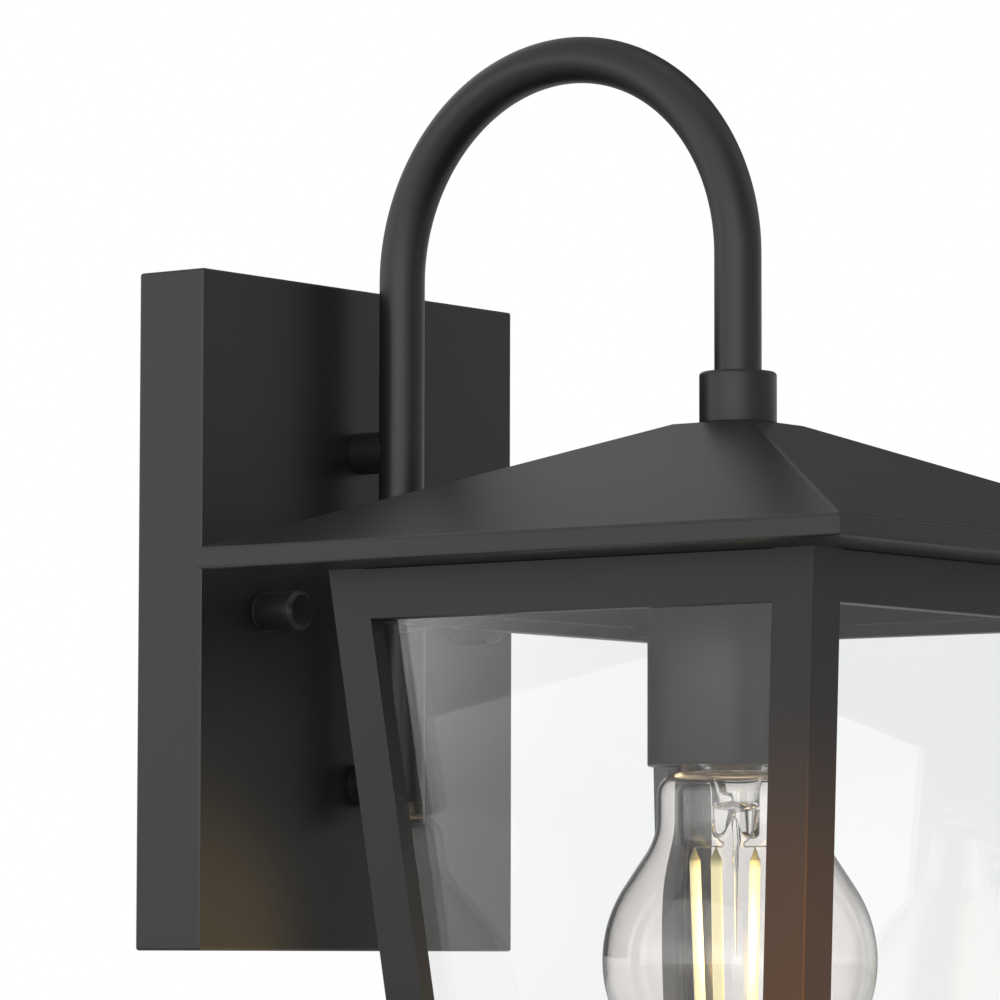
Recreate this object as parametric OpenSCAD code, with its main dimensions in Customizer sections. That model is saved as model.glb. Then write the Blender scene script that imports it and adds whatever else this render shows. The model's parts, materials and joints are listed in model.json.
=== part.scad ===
// Outdoor wall lantern: a gooseneck arm carries a tapered four-pane cage under a hipped roof.
// The wall is the plane y = 0 and the lantern stands out towards -Y; z = 0 is the backplate's centre.

/* [Backplate] */
// Width of the backplate
plate_w = 112.6; // [112:0.2:140]
// Height of the backplate
plate_h = 151.6; // [130:0.2:180]
// Depth of the backplate, from the wall to its front
plate_d = 18.9; // [17.6:0.1:24]
// Sheet thickness of the backplate
plate_t = 1.2; // [0.8:0.1:1.6]

/* [Mounting strap] */
// Width of the strap that is screwed to the outlet box
strap_w = 20; // [16:0.5:26]
// Thickness of the strap
strap_t = 2; // [1.5:0.1:2.5]
// Distance between the outlet box screws
box_screw_spacing = 88.9; // [87:0.1:91]
// Width of the slots for the outlet box screws
slot_w = 4.6; // [4:0.1:5.2]
// End to end length of the slots
slot_l = 9; // [6:0.5:10]
// Clearance between the strap's ends and the backplate's sides
strap_gap = 3.15; // [2:0.05:4]
// Distance between the two studs
stud_spacing = 69.8; // [64:0.1:71]
// Diameter of the studs
stud_d = 4.2; // [3.6:0.1:4.6]
// Length of stud that stands out of the backplate
stud_stickout = 8; // [6:0.1:8.4]
// Width across the flats of the studs' lock nuts
stud_nut_af = 8.6; // [7.4:0.2:9.4]
// Thickness of the studs' lock nuts
stud_nut_t = 3; // [2:0.1:4]

/* [Cap nuts] */
// Diameter of the cap nuts
cap_nut_d = 9; // [8:0.1:12]
// Length of the cap nuts
cap_nut_l = 10.6; // [8.6:0.1:12]
// Chamfer round the front of the cap nuts
cap_nut_chamfer = 0.9; // [0.3:0.1:1.2]
// Diameter of the sealing washer under each cap nut
seal_d = 8.4; // [7:0.1:9]
// Thickness of the sealing washers
seal_t = 0.8; // [0.5:0.1:1.5]

/* [Ground connection] */
// Diameter of the ground screw's thread
ground_screw_d = 3.8; // [3:0.1:4.5]
// Width across the flats of the ground screw's head
ground_head_af = 8; // [7.4:0.2:9]
// Thickness of the ground screw's head
ground_head_t = 3; // [2:0.1:4]
// Diameter of the bare ground wire
ground_wire_d = 1.8; // [1.4:0.1:2]
// Outer diameter of the ring terminal
terminal_d = 14; // [13:0.2:16]
// Thickness of the ring terminal
terminal_t = 0.8; // [0.5:0.1:1.2]
// Length of the ring terminal's barrel
barrel_l = 6; // [4:0.5:8]

/* [Stand-offs] */
// Distance between the stand-offs, one above the other
standoff_spacing = 76.2; // [70:0.2:90]
// Diameter of the stand-offs
standoff_d = 9.6; // [9.2:0.1:10]
// Diameter of the threaded shank through the backplate
shank_d = 8; // [7.2:0.1:8.6]
// Diameter of the wire passage through the shank
shank_bore_d = 5.6; // [5:0.1:5.8]
// Width across the flats of the stand-off nuts
standoff_nut_af = 13; // [12:0.2:14]
// Thickness of the stand-off nuts
standoff_nut_t = 4; // [3:0.1:4.4]
// Diameter of the washers under those nuts
standoff_washer_d = 16; // [15:0.5:18]
// Thickness of those washers
standoff_washer_t = 0.8; // [0.5:0.1:1]

/* [Gooseneck] */
// Outer diameter of the tube
tube_d = 10.4; // [10.2:0.1:12]
// Wall thickness of the tube
tube_t = 1.2; // [0.8:0.1:1.4]
// Clear gap between the backplate and the tube's back leg
leg_gap = 6.4; // [5:0.1:14]
// Clear gap between the tube's back leg and the eave
eave_gap = 5.1; // [2:0.1:20]
// Straight length of the front leg above the collar
front_leg_l = 26.2; // [10:0.2:60]
// Length of the back leg below the lower stand-off's axis
leg_tail = 7.5; // [6:0.1:20]
// Thickness of the rim of the plug in the back leg
plug_rim_t = 1.5; // [1:0.1:3]
// Depth of the plug in the tube
plug_l = 4; // [2:0.1:4.4]

/* [Collar and nipple] */
// Diameter of the collar
collar_d = 17; // [15:0.1:20]
// Height of the collar
collar_h = 11.6; // [9:0.1:20]
// Chamfer round the top of the collar
collar_chamfer = 0.8; // [0.3:0.1:1.5]
// Depth of the tube in the collar
tube_seat = 6; // [4:0.1:7]
// Diameter of the threaded nipple
nipple_d = 9.7; // [9.2:0.1:10]
// Diameter of the nipple's bore
nipple_bore_d = 6.2; // [5.6:0.1:6.6]
// Width across the flats of the nipple's nuts
nipple_nut_af = 14; // [13:0.2:16]
// Thickness of the nipple's nuts
nipple_nut_t = 3.5; // [2.5:0.1:5]
// Diameter of the lock washer under the roof
roof_washer_d = 16; // [15:0.5:20]
// Thickness of the lock washer
roof_washer_t = 1; // [0.6:0.1:1.6]

/* [Roof] */
// Width of the roof over its eaves
eave_w = 167.5; // [150:0.5:190]
// Height of the eaves' lower edge above the backplate's centre
eave_z = 6.2; // [0:0.1:20]
// Height of the upright fascia
fascia_h = 4.5; // [3:0.1:10]
// Rise from the fascia to the flat top
roof_rise = 28.2; // [26:0.1:50]
// Width of the flat top
roof_top_w = 21; // [20:0.5:40]
// Sheet thickness of the roof
roof_t = 1.2; // [0.8:0.1:2]
// Thickness of the ceiling plate
ceiling_t = 0.7; // [0.5:0.1:2]
// Clearance between the ceiling plate and the fascia round it
ceiling_gap = 0.2; // [0.1:0.05:0.4]

/* [Cage] */
// Height of the cage
cage_h = 186.2; // [150:0.1:240]
// Width of the cage at its top
cage_top_w = 127.1; // [118:0.1:140]
// Width of the cage at its bottom
cage_bottom_w = 90.6; // [84:0.2:110]
// Width of the corner posts' legs
post_w = 10; // [9:0.1:14]
// Thickness of the posts and rails
frame_t = 4.4; // [3:0.1:5]
// Height of the top and bottom rails
rail_h = 10.9; // [8:0.1:14]

/* [Glass] */
// Thickness of the panes
glass_t = 2.5; // [2:0.1:3.5]
// Clearance before and behind each pane
glass_gap = 0.2; // [0.1:0.05:0.4]
// How far a pane reaches behind the rails
glass_lap = 3; // [2:0.1:4]
// Thickness of the glass clips
clip_t = 0.8; // [0.5:0.1:1]
// Width of the glass clips
clip_w = 8; // [6:0.5:12]
// Length of the foot of a glass clip on its rail
clip_foot = 5; // [4:0.5:5.5]
// Length of the lip of a glass clip behind the pane
clip_lip = 2.2; // [1.5:0.1:2.6]
// Distance of the lower clips from the middle of their rail
lower_clip_x = 20; // [14:0.5:24]
// Distance of the upper clips from the middle of their rail
upper_clip_x = 42; // [30:0.5:43]

/* [Socket] */
// Diameter of the socket cup
cup_d = 38.4; // [38:0.1:48]
// Length of the socket cup below the ceiling
cup_l = 41.8; // [39:0.1:50]
// Wall thickness of the socket cup
cup_t = 1; // [0.8:0.1:1.4]
// Clearance between the cup and the porcelain
cup_gap = 0.8; // [0.4:0.1:0.9]
// How far the porcelain stops short of the cup's rim
cup_recess = 3.5; // [0.5:0.1:5]
// Diameter of the porcelain's neck
neck_d = 28; // [27:0.2:30]
// Height of the porcelain's neck above its shoulder
neck_h = 11.8; // [11:0.1:16]
// Diameter of the wiring chamber in the neck
chamber_d = 18; // [17.8:0.1:18.2]
// Thickness of the porcelain floor between chamber and lamp
floor_t = 3.5; // [2.5:0.1:4]
// Depth from the shoulder to the chamber's floor
chamber_drop = 3.7; // [1:0.1:4]
// Thickness of the socket's steel cap
cap_t = 2; // [1.5:0.1:3]
// Height of the threaded boss on the cap
boss_h = 3; // [2:0.1:6]
// Diameter of the threaded boss on the cap
boss_d = 14; // [12:0.2:16]
// Diameter of the two cap screws
cap_screw_d = 3; // [2.5:0.1:3.4]
// Length of the two cap screws under their heads
cap_screw_l = 9; // [6:0.5:12]
// Diameter of the cap screws' heads
cap_screw_head_d = 5; // [4.2:0.1:5.4]
// Thickness of the brass parts in the socket
brass_t = 0.6; // [0.4:0.1:0.8]
// Width of the brass strips in the socket
strip_w = 3.6; // [2.5:0.1:4]

/* [Lamp] */
// Largest diameter of the glass bulb
bulb_d = 58; // [55:0.5:62]
// Overall length of the lamp
lamp_l = 101.5; // [100:0.1:108]
// Distance from the ceiling to the lamp's contact
contact_drop = 11.2; // [11:0.1:11.7]
// Diameter of the bulb's neck
bulb_neck_d = 34.4; // [33:0.2:37]
// Length of the lamp's base
base_l = 27.5; // [26:0.1:28]
// Diameter of the lamp's screw base
base_d = 26.2; // [26:0.05:26.4]
// Clearance round the lamp's base in the screw shell
base_gap = 0.25; // [0.15:0.05:0.5]
// Wall thickness of the glass bulb
bulb_t = 0.8; // [0.6:0.1:1.2]
// Length of the glowing filaments
filament_l = 38; // [30:0.5:40]
// Diameter of the glowing filaments
filament_d = 2.4; // [1.2:0.1:2.6]
// Distance of the filaments' upper ends from the lamp's axis
filament_top_r = 10; // [8:0.1:11]
// Distance of the filaments' lower ends from the lamp's axis
filament_bottom_r = 8.4; // [6:0.1:10]
// Diameter of the wires that hold the filaments
support_d = 0.8; // [0.5:0.1:1]
// Diameter of the lamp leads
lead_d = 1.8; // [1.4:0.1:2]

/* [Hidden] */
$fn = 64;
SIDES = ["front", "right", "back", "left"];
CORNERS = ["front_left", "front_right", "back_right", "back_left"];

cut = 1;              // how far a cutting shape runs past what it cuts
thread_gap = 0.05;    // radial gap modelled between mating threads
fit_gap = 0.3;        // radial gap round a part that passes through a hole
seat_gap = 0.2;       // gap where a part rests in its seat
flats_to_corners = 1 / cos(30);

// Backplate and arm
back_leg_y = plate_d + leg_gap + tube_d / 2;
arch_r = (eave_w / 2 + eave_gap + tube_d / 2) / 2;
lantern_y = back_leg_y + 2 * arch_r;
standoff_z = standoff_spacing / 2;
shank_end_y = plate_d - plate_t - standoff_washer_t - standoff_nut_t;
strap_l = plate_w - 2 * (plate_t + strap_gap);

// Heights, from the roof's top down to the cage's bottom
roof_top_z = eave_z + fascia_h + roof_rise;
collar_top_z = roof_top_z + collar_h;
spring_z = collar_top_z + front_leg_l;
cage_top_z = eave_z;
cage_bottom_z = cage_top_z - cage_h;
roof_run = (eave_w - roof_top_w) / 2;
roof_drop = roof_t * norm([roof_run, roof_rise]) / roof_run;

// Cage: its half width grows evenly with height
cage_slope = (cage_top_w - cage_bottom_w) / 2 / cage_h;
function half_at(z) = cage_bottom_w / 2 + (z - cage_bottom_z) * cage_slope;
pane_front = frame_t + glass_gap;
pane_back = pane_front + glass_t;
clip_back = pane_back + glass_gap;
pane_bottom_z = cage_bottom_z + rail_h - glass_lap;
pane_top_z = cage_top_z - rail_h + glass_lap;

// Socket, stacked down from the ceiling
shoulder_z = cage_top_z - cup_t;
neck_top_z = shoulder_z + neck_h;
boss_top_z = neck_top_z + cap_t + boss_h;
chamber_floor_z = shoulder_z - chamber_drop;
lamp_roof_z = chamber_floor_z - floor_t;
cup_rim_z = cage_top_z - cup_l;
porcelain_rim_z = cup_rim_z + cup_recess;
porcelain_r = cup_d / 2 - cup_t - cup_gap;
nipple_bottom_z = boss_top_z - boss_h - cap_t;
nipple_top_z = collar_top_z - tube_seat - seat_gap;
shell_r = base_d / 2 + base_gap;
tab_top_z = chamber_floor_z + brass_t;
tab_inner_x = 0.4;      // the two terminals' edges stay this far from the middle
live_leg_x = 6.9;       // outer face of the live terminal's leg
neutral_leg_x = 8.6;    // outer face of the neutral terminal's leg
cap_screw_y = (neck_d + chamber_d) / 4;

// Lamp
contact_z = cage_top_z - contact_drop;
tip_z = contact_z - lamp_l;
base_rim_z = contact_z - base_l;
globe_z = tip_z + bulb_d / 2;
contact_t = 1.4;        // height of the contact button
insulator_l = 4.4;      // height of the insulator cone
insulator_plug = 2;     // how far the insulator reaches into the base's shell
shell_top_z = contact_z - contact_t - insulator_l;
board_z = shell_top_z - insulator_plug - 2;
board_t = 1;            // thickness of the driver's board
capacitor_d = 10;
capacitor_l = 7;
shoulder_angle = 33.2;  // lean of the bulb's shoulder from the lamp's axis, where it leaves the globe
bulb_shoulder_z = globe_z + bulb_d / 2 * sin(shoulder_angle);
neck_round = 5;         // rounding between the bulb's neck and its base
neck_drop = 4.3;        // height between that rounding and the base's rim
neck_seat = 2;          // how far the glass reaches up into the base
neck_round_z = base_rim_z - neck_round - neck_drop;
neck_share = 0.445;     // upright part of the height between the bulb's shoulder and that rounding
pole_angle = 85;        // an arc that runs to the axis is drawn to this angle, and a straight line ends it
bulb_seat_r = base_d / 2 - 0.8;
bulb_neck_z = neck_round_z - neck_share * (neck_round_z - bulb_shoulder_z);
stem_l = 19;            // length of the glass stem below the base's rim
stem_r = 4.5;           // radius of the stem's tube
stem_t = 0.8;           // wall of the stem
flare_l = 8;            // height over which the stem flares out to the neck
flare_r = bulb_seat_r - bulb_t - thread_gap;
pinch_w = 9;            // width, thickness and height of the stem's flat pinch
pinch_t = 4;
pinch_h = 6.5;
stem_bottom_z = base_rim_z - stem_l;
filament_cap_l = 2;     // length of the bare metal end of a filament
wire_gap = support_d / 2 + thread_gap;
crown_z = stem_bottom_z - wire_gap;
filament_top_z = crown_z - filament_cap_l;
filament_turn = 10.1;   // the first filament's direction from +X
filament_count = 4;

// Leads
lead_x = 1.3;           // each lead runs this far beside the middle
lead_bend = 4;          // radius of the leads' bends
connector_x = 9.5;      // distance of the wire connectors' mouths from the middle
connector_l = 22;
connector_r = 6;
connector_bore_l = 12;
ground_bend = 5;        // radius of the ground wire's bends
hook_r = ground_screw_d / 2 + thread_gap + ground_wire_d / 2;
terminal_y = plate_d - plate_t - standoff_washer_t;
barrel_r = ground_wire_d / 2 + terminal_t;
barrel_y = terminal_y - barrel_r;
barrel_top_z = standoff_z - standoff_washer_d / 2 - seat_gap;
barrel_bottom_z = barrel_top_z - barrel_l;
hook_y = strap_t + ground_wire_d / 2;
step_z = (barrel_bottom_z + hook_r) / 2;

// Moves a piece to a point on the plane at depth y before the wall, its own +Z towards the room
module outward(x, y, z) {
  translate([x, -y, z]) rotate([90, 0, 0]) children();
}

// Moves a piece to the lantern's own axis
module at_lantern() {
  translate([0, -lantern_y, 0]) children();
}

// Flat ring or disc standing on z = 0
module ring(r_out, r_in, h) {
  difference() {
    cylinder(h = h, r = r_out);
    translate([0, 0, -cut]) cylinder(h = h + 2 * cut, r = r_in);
  }
}

// Hexagon nut standing on z = 0
module hex_nut(across_flats, r_in, h) {
  difference() {
    cylinder(h = h, r = across_flats / 2 * flats_to_corners, $fn = 6);
    translate([0, 0, -cut]) cylinder(h = h + 2 * cut, r = r_in);
  }
}

// Round rod from height z_lo to height z_hi
module rod_z(r, z_lo, z_hi) {
  translate([0, 0, z_lo]) cylinder(h = z_hi - z_lo, r = r);
}

// Part of a round bend in the YZ plane: 0 degrees points to +Y, 90 degrees to +Z
module bend_yz(bend_r, rod_r, start, angle) {
  rotate([90, 0, 90]) rotate([0, 0, start])
    rotate_extrude(angle = angle) translate([bend_r, 0]) circle(r = rod_r);
}

// The gooseneck's route as a solid rod of radius r, between two heights on its legs
module arm_route(r, front_z, back_z) {
  translate([0, -lantern_y, 0]) rod_z(r, front_z, spring_z);
  translate([0, -lantern_y + arch_r, spring_z]) bend_yz(arch_r, r, 0, 180);
  translate([0, -back_leg_y, 0]) rod_z(r, back_z, spring_z);
}

// A limit of a cage bar: [0, x] is a plain place, [side, inset] follows the cage's outer face on that side
function limit_at(limit, z) = limit[0] == 0 ? limit[1] : limit[0] * (half_at(z) - limit[1]);

// Straight bar of the cage that leans and narrows with it
module cage_bar(x_lo, x_hi, y_lo, y_hi, z_lo, z_hi) {
  polyhedron(
    points = [for (z = [z_lo, z_hi]) for (c = [[x_lo, y_lo], [x_hi, y_lo], [x_hi, y_hi], [x_lo, y_hi]])
      [limit_at(c[0], z), limit_at(c[1], z), z]],
    faces = [[0, 1, 2, 3], [7, 6, 5, 4], [0, 4, 5, 1], [1, 5, 6, 2], [2, 6, 7, 3], [3, 7, 4, 0]]
  );
}

// Points along a circular arc in a lathe profile, [radius, height] each
function arc_points(center, r, from, to, steps = 16) =
  [for (i = [0:steps]) let (a = from + (to - from) * i / steps) center + r * [cos(a), sin(a)]];

// Steel strap that carries the lantern on the outlet box
module mounting_strap() {
  color("silver") difference() {
    translate([-strap_l / 2, -strap_t, -strap_w / 2]) cube([strap_l, strap_t, strap_w]);
    for (side = [-1, 1]) {
      for (end = [-1, 1])
        outward(side * box_screw_spacing / 2 + end * (slot_l - slot_w) / 2, -cut, 0)
          cylinder(h = strap_t + 2 * cut, d = slot_w);
      translate([side * box_screw_spacing / 2 - (slot_l - slot_w) / 2, -strap_t - cut, -slot_w / 2])
        cube([slot_l - slot_w, strap_t + 2 * cut, slot_w]);
      outward(side * stud_spacing / 2, -cut, 0) cylinder(h = strap_t + 2 * cut, r = stud_d / 2 + thread_gap);
    }
    outward(-hook_r, -cut, 0) cylinder(h = strap_t + 2 * cut, r = ground_screw_d / 2 + thread_gap);
  }
}

module mounting_studs() {
  color("silver") for (side = [-1, 1])
    outward(side * stud_spacing / 2, 0, 0) cylinder(h = plate_d + stud_stickout, d = stud_d);
}

module stud_nuts() {
  color("silver") for (side = [-1, 1])
    outward(side * stud_spacing / 2, strap_t, 0) hex_nut(stud_nut_af, stud_d / 2 + thread_gap, stud_nut_t);
}

module ground_screw() {
  color("forestgreen") {
    outward(-hook_r, 0, 0) cylinder(h = strap_t + ground_wire_d + ground_head_t / 2, d = ground_screw_d);
    outward(-hook_r, strap_t + ground_wire_d, 0)
      cylinder(h = ground_head_t, r = ground_head_af / 2 * flats_to_corners, $fn = 6);
  }
}

// Bare wire that steps back from the ring terminal to the strap and hooks round the ground screw
module ground_lead() {
  wire_r = ground_wire_d / 2;
  color("peru") {
    translate([0, -barrel_y, 0]) rod_z(wire_r, step_z + ground_bend, barrel_top_z - seat_gap);
    translate([0, -barrel_y + ground_bend, step_z + ground_bend]) bend_yz(ground_bend, wire_r, 180, 90);
    outward(0, hook_y + ground_bend, step_z) cylinder(h = barrel_y - hook_y - 2 * ground_bend, r = wire_r);
    translate([0, -hook_y - ground_bend, step_z - ground_bend]) bend_yz(ground_bend, wire_r, 0, 90);
    translate([0, -hook_y, 0]) rod_z(wire_r, 0, step_z - ground_bend);
    outward(-hook_r, hook_y, 0) rotate([0, 0, 90]) rotate_extrude(angle = 270)
      translate([hook_r, 0]) circle(r = wire_r);
  }
}

// Ring under the upper stand-off's nut, with a tongue down to the barrel that grips the ground wire
module ground_terminal() {
  color("silver") difference() {
    union() {
      outward(0, terminal_y - terminal_t, standoff_z) cylinder(h = terminal_t, d = terminal_d);
      translate([-barrel_r, -terminal_y, barrel_top_z - terminal_t])
        cube([2 * barrel_r, terminal_t, standoff_z - barrel_top_z]);
      translate([0, -barrel_y, 0]) rod_z(barrel_r, barrel_bottom_z, barrel_top_z);
    }
    outward(0, terminal_y - terminal_t - cut, standoff_z)
      cylinder(h = terminal_t + 2 * cut, r = shank_d / 2 + thread_gap);
    translate([0, -barrel_y, 0])
      rod_z(ground_wire_d / 2 + thread_gap, barrel_bottom_z - cut, barrel_top_z - seat_gap + thread_gap);
  }
}

// Deep pan, open towards the wall
module backplate() {
  color("dimgray") difference() {
    translate([-plate_w / 2, -plate_d, -plate_h / 2]) cube([plate_w, plate_d, plate_h]);
    translate([plate_t - plate_w / 2, plate_t - plate_d, plate_t - plate_h / 2])
      cube([plate_w - 2 * plate_t, plate_d, plate_h - 2 * plate_t]);
    for (side = [-1, 1]) {
      outward(side * stud_spacing / 2, plate_d - plate_t - cut, 0)
        cylinder(h = plate_t + 2 * cut, r = stud_d / 2 + fit_gap);
      outward(0, plate_d - plate_t - cut, side * standoff_z)
        cylinder(h = plate_t + 2 * cut, r = shank_d / 2 + thread_gap);
    }
  }
}

// Washer that keeps rain out of a stud's hole
module seal(side) {
  color("black") outward(side * stud_spacing / 2, plate_d, 0)
    ring(seal_d / 2, stud_d / 2 + thread_gap, seal_t);
}

// Round blind nut with a chamfered front
module cap_nut(side) {
  color("dimgray") outward(side * stud_spacing / 2, plate_d + seal_t, 0) difference() {
    rotate_extrude() polygon([
      [0, 0], [cap_nut_d / 2, 0], [cap_nut_d / 2, cap_nut_l - cap_nut_chamfer],
      [cap_nut_d / 2 - cap_nut_chamfer, cap_nut_l], [0, cap_nut_l]
    ]);
    translate([0, 0, -cut])
      cylinder(h = stud_stickout - seal_t + seat_gap + cut, r = stud_d / 2 + thread_gap);
  }
}

// Post from the backplate to the back leg: shank, body and a saddle for the tube
module standoff(side) {
  color("dimgray") difference() {
    union() {
      outward(0, shank_end_y, side * standoff_z) cylinder(h = plate_d - shank_end_y, d = shank_d);
      outward(0, plate_d, side * standoff_z) cylinder(h = back_leg_y - plate_d, d = standoff_d);
    }
    translate([0, -back_leg_y, side * standoff_z])
      rod_z(tube_d / 2 + thread_gap, -standoff_d, standoff_d);
    outward(0, shank_end_y - cut, side * standoff_z) cylinder(h = back_leg_y, d = shank_bore_d);
  }
}

module standoff_washers() {
  color("silver") for (side = [-1, 1])
    outward(0, plate_d - plate_t - standoff_washer_t, side * standoff_z)
      ring(standoff_washer_d / 2, shank_d / 2 + thread_gap, standoff_washer_t);
}

// The upper nut sits on the ring terminal, the lower one on its washer
module standoff_nuts() {
  color("silver") for (side = [-1, 1])
    outward(0, shank_end_y - (side > 0 ? terminal_t : 0), side * standoff_z)
      hex_nut(standoff_nut_af, shank_d / 2 + thread_gap, standoff_nut_t);
}

// Bent tube from the lower stand-off over to the collar, with a wire hole at each stand-off
module gooseneck_tube() {
  color("dimgray") difference() {
    arm_route(tube_d / 2, collar_top_z - tube_seat, -standoff_z - leg_tail);
    arm_route(tube_d / 2 - tube_t, collar_top_z - tube_seat - cut, -standoff_z - leg_tail - cut);
    for (side = [-1, 1])
      outward(0, plate_d, side * standoff_z) cylinder(h = back_leg_y - plate_d, d = shank_bore_d);
  }
}

module tube_plug() {
  color("dimgray") translate([0, -back_leg_y, -standoff_z - leg_tail]) {
    translate([0, 0, -plug_rim_t]) cylinder(h = plug_rim_t, d = tube_d);
    cylinder(h = plug_l, r = tube_d / 2 - tube_t - thread_gap);
  }
}

// Turned collar: the tube seats in its top and the nipple threads into its foot
module collar() {
  color("dimgray") at_lantern() difference() {
    translate([0, 0, roof_top_z]) rotate_extrude() polygon([
      [0, 0], [collar_d / 2, 0], [collar_d / 2, collar_h - collar_chamfer],
      [collar_d / 2 - collar_chamfer, collar_h], [0, collar_h]
    ]);
    rod_z(tube_d / 2 + thread_gap, collar_top_z - tube_seat, collar_top_z + cut);
    rod_z(nipple_d / 2 + thread_gap, roof_top_z - cut, collar_top_z - tube_seat + cut);
  }
}

module roof_washer() {
  color("silver") at_lantern() translate([0, 0, roof_top_z - roof_drop - roof_washer_t])
    ring(roof_washer_d / 2, nipple_d / 2 + thread_gap, roof_washer_t);
}

module roof_nut() {
  color("silver") at_lantern() translate([0, 0, roof_top_z - roof_drop - roof_washer_t - nipple_nut_t])
    hex_nut(nipple_nut_af, nipple_d / 2 + thread_gap, nipple_nut_t);
}

module threaded_nipple() {
  color("silver") at_lantern() translate([0, 0, nipple_bottom_z])
    ring(nipple_d / 2, nipple_bore_d / 2, nipple_top_z - nipple_bottom_z);
}

// Solid of the roof's outside: fascia and hips
module roof_form() {
  translate([-eave_w / 2, -eave_w / 2, eave_z]) cube([eave_w, eave_w, fascia_h]);
  translate([0, 0, eave_z + fascia_h])
    linear_extrude(height = roof_rise, scale = roof_top_w / eave_w) square(eave_w, center = true);
}

module roof() {
  color("dimgray") at_lantern() difference() {
    roof_form();
    intersection() {
      translate([0, 0, -roof_drop]) roof_form();
      translate([roof_t - eave_w / 2, roof_t - eave_w / 2, eave_z - 2 * roof_drop])
        cube([eave_w - 2 * roof_t, eave_w - 2 * roof_t, roof_top_z]);
    }
    rod_z(nipple_d / 2 + fit_gap, roof_top_z - 2 * roof_drop, roof_top_z + cut);
  }
}

// Plate between the fascia and the cage, pierced for the socket's neck
module ceiling_plate() {
  plate_half = eave_w / 2 - roof_t - ceiling_gap;
  color("dimgray") at_lantern() difference() {
    translate([-plate_half, -plate_half, cage_top_z]) cube([2 * plate_half, 2 * plate_half, ceiling_t]);
    rod_z(neck_d / 2 + fit_gap, cage_top_z - cut, cage_top_z + ceiling_t + cut);
  }
}

module socket_cup() {
  color("dimgray") at_lantern() difference() {
    rod_z(cup_d / 2, cup_rim_z, cage_top_z);
    rod_z(cup_d / 2 - cup_t, cup_rim_z - cut, shoulder_z);
    rod_z(neck_d / 2 + fit_gap, shoulder_z - cut, cage_top_z + cut);
  }
}

// Porcelain socket: wiring chamber above, lamp cavity below, slots in its floor for the two brass parts
module socket_body() {
  color("white") at_lantern() difference() {
    union() {
      rod_z(porcelain_r, porcelain_rim_z, shoulder_z);
      rod_z(neck_d / 2, shoulder_z - cut, neck_top_z);
    }
    rod_z(chamber_d / 2, chamber_floor_z, neck_top_z + cut);
    rod_z(shell_r + brass_t + seat_gap, porcelain_rim_z - cut, lamp_roof_z);
    for (leg_x = [-live_leg_x, neutral_leg_x - brass_t])
      translate([leg_x - seat_gap, -strip_w / 2 - seat_gap, lamp_roof_z - cut])
        cube([brass_t + 2 * seat_gap, strip_w + 2 * seat_gap, floor_t + 2 * cut]);
    for (side = [-1, 1])
      translate([0, side * cap_screw_y, 0])
        rod_z(cap_screw_d / 2 + thread_gap, neck_top_z - cap_screw_l + cap_t, neck_top_z + cut);
  }
}

// Steel cap on the porcelain's neck, threaded for the nipple
module socket_cap() {
  color("silver") at_lantern() difference() {
    union() {
      rod_z(neck_d / 2, neck_top_z, neck_top_z + cap_t);
      rod_z(boss_d / 2, neck_top_z, boss_top_z);
    }
    rod_z(nipple_d / 2 + thread_gap, neck_top_z - cut, boss_top_z + cut);
    for (side = [-1, 1])
      translate([0, side * cap_screw_y, 0])
        rod_z(cap_screw_d / 2 + thread_gap, neck_top_z - cut, neck_top_z + cap_t + cut);
  }
}

module socket_cap_screws() {
  color("silver") at_lantern() for (side = [-1, 1]) translate([0, side * cap_screw_y, 0]) {
    rod_z(cap_screw_d / 2, neck_top_z + cap_t - cap_screw_l + seat_gap, neck_top_z + cap_t);
    rod_z(cap_screw_head_d / 2, neck_top_z + cap_t, neck_top_z + cap_t + cap_screw_d / 2);
  }
}

module socket_lock_nut() {
  color("silver") at_lantern() translate([0, 0, boss_top_z])
    hex_nut(nipple_nut_af, nipple_d / 2 + thread_gap, nipple_nut_t);
}

// Brass sleeve that takes the lamp's base, with its terminal tab in the wiring chamber
module screw_shell() {
  flange_in_r = neutral_leg_x - brass_t;
  color("goldenrod") at_lantern() {
    difference() {
      rod_z(shell_r + brass_t, porcelain_rim_z + seat_gap, lamp_roof_z);
      rod_z(shell_r, porcelain_rim_z - cut, lamp_roof_z - brass_t);
      rod_z(flange_in_r, lamp_roof_z - 2 * brass_t, lamp_roof_z + cut);
    }
    translate([flange_in_r, -strip_w / 2, lamp_roof_z]) cube([brass_t, strip_w, tab_top_z - lamp_roof_z]);
    translate([tab_inner_x, -strip_w / 2, chamber_floor_z])
      cube([neutral_leg_x - tab_inner_x, strip_w, brass_t]);
  }
}

// Brass spring tongue that meets the lamp's contact, with its terminal tab in the wiring chamber
module centre_contact() {
  tongue_z = contact_z + seat_gap / 2 + brass_t;
  color("goldenrod") at_lantern() translate([0, strip_w / 2, 0]) rotate([90, 0, 0])
    linear_extrude(height = strip_w) polygon([
      [-live_leg_x, tab_top_z], [-tab_inner_x, tab_top_z], [-tab_inner_x, chamber_floor_z],
      [brass_t - live_leg_x, chamber_floor_z], [brass_t - live_leg_x, lamp_roof_z - brass_t / 2],
      [0, tongue_z], [strip_w / 2, tongue_z], [strip_w / 2, tongue_z - brass_t], [0, tongue_z - brass_t],
      [-live_leg_x, lamp_roof_z - brass_t]
    ]);
}

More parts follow.
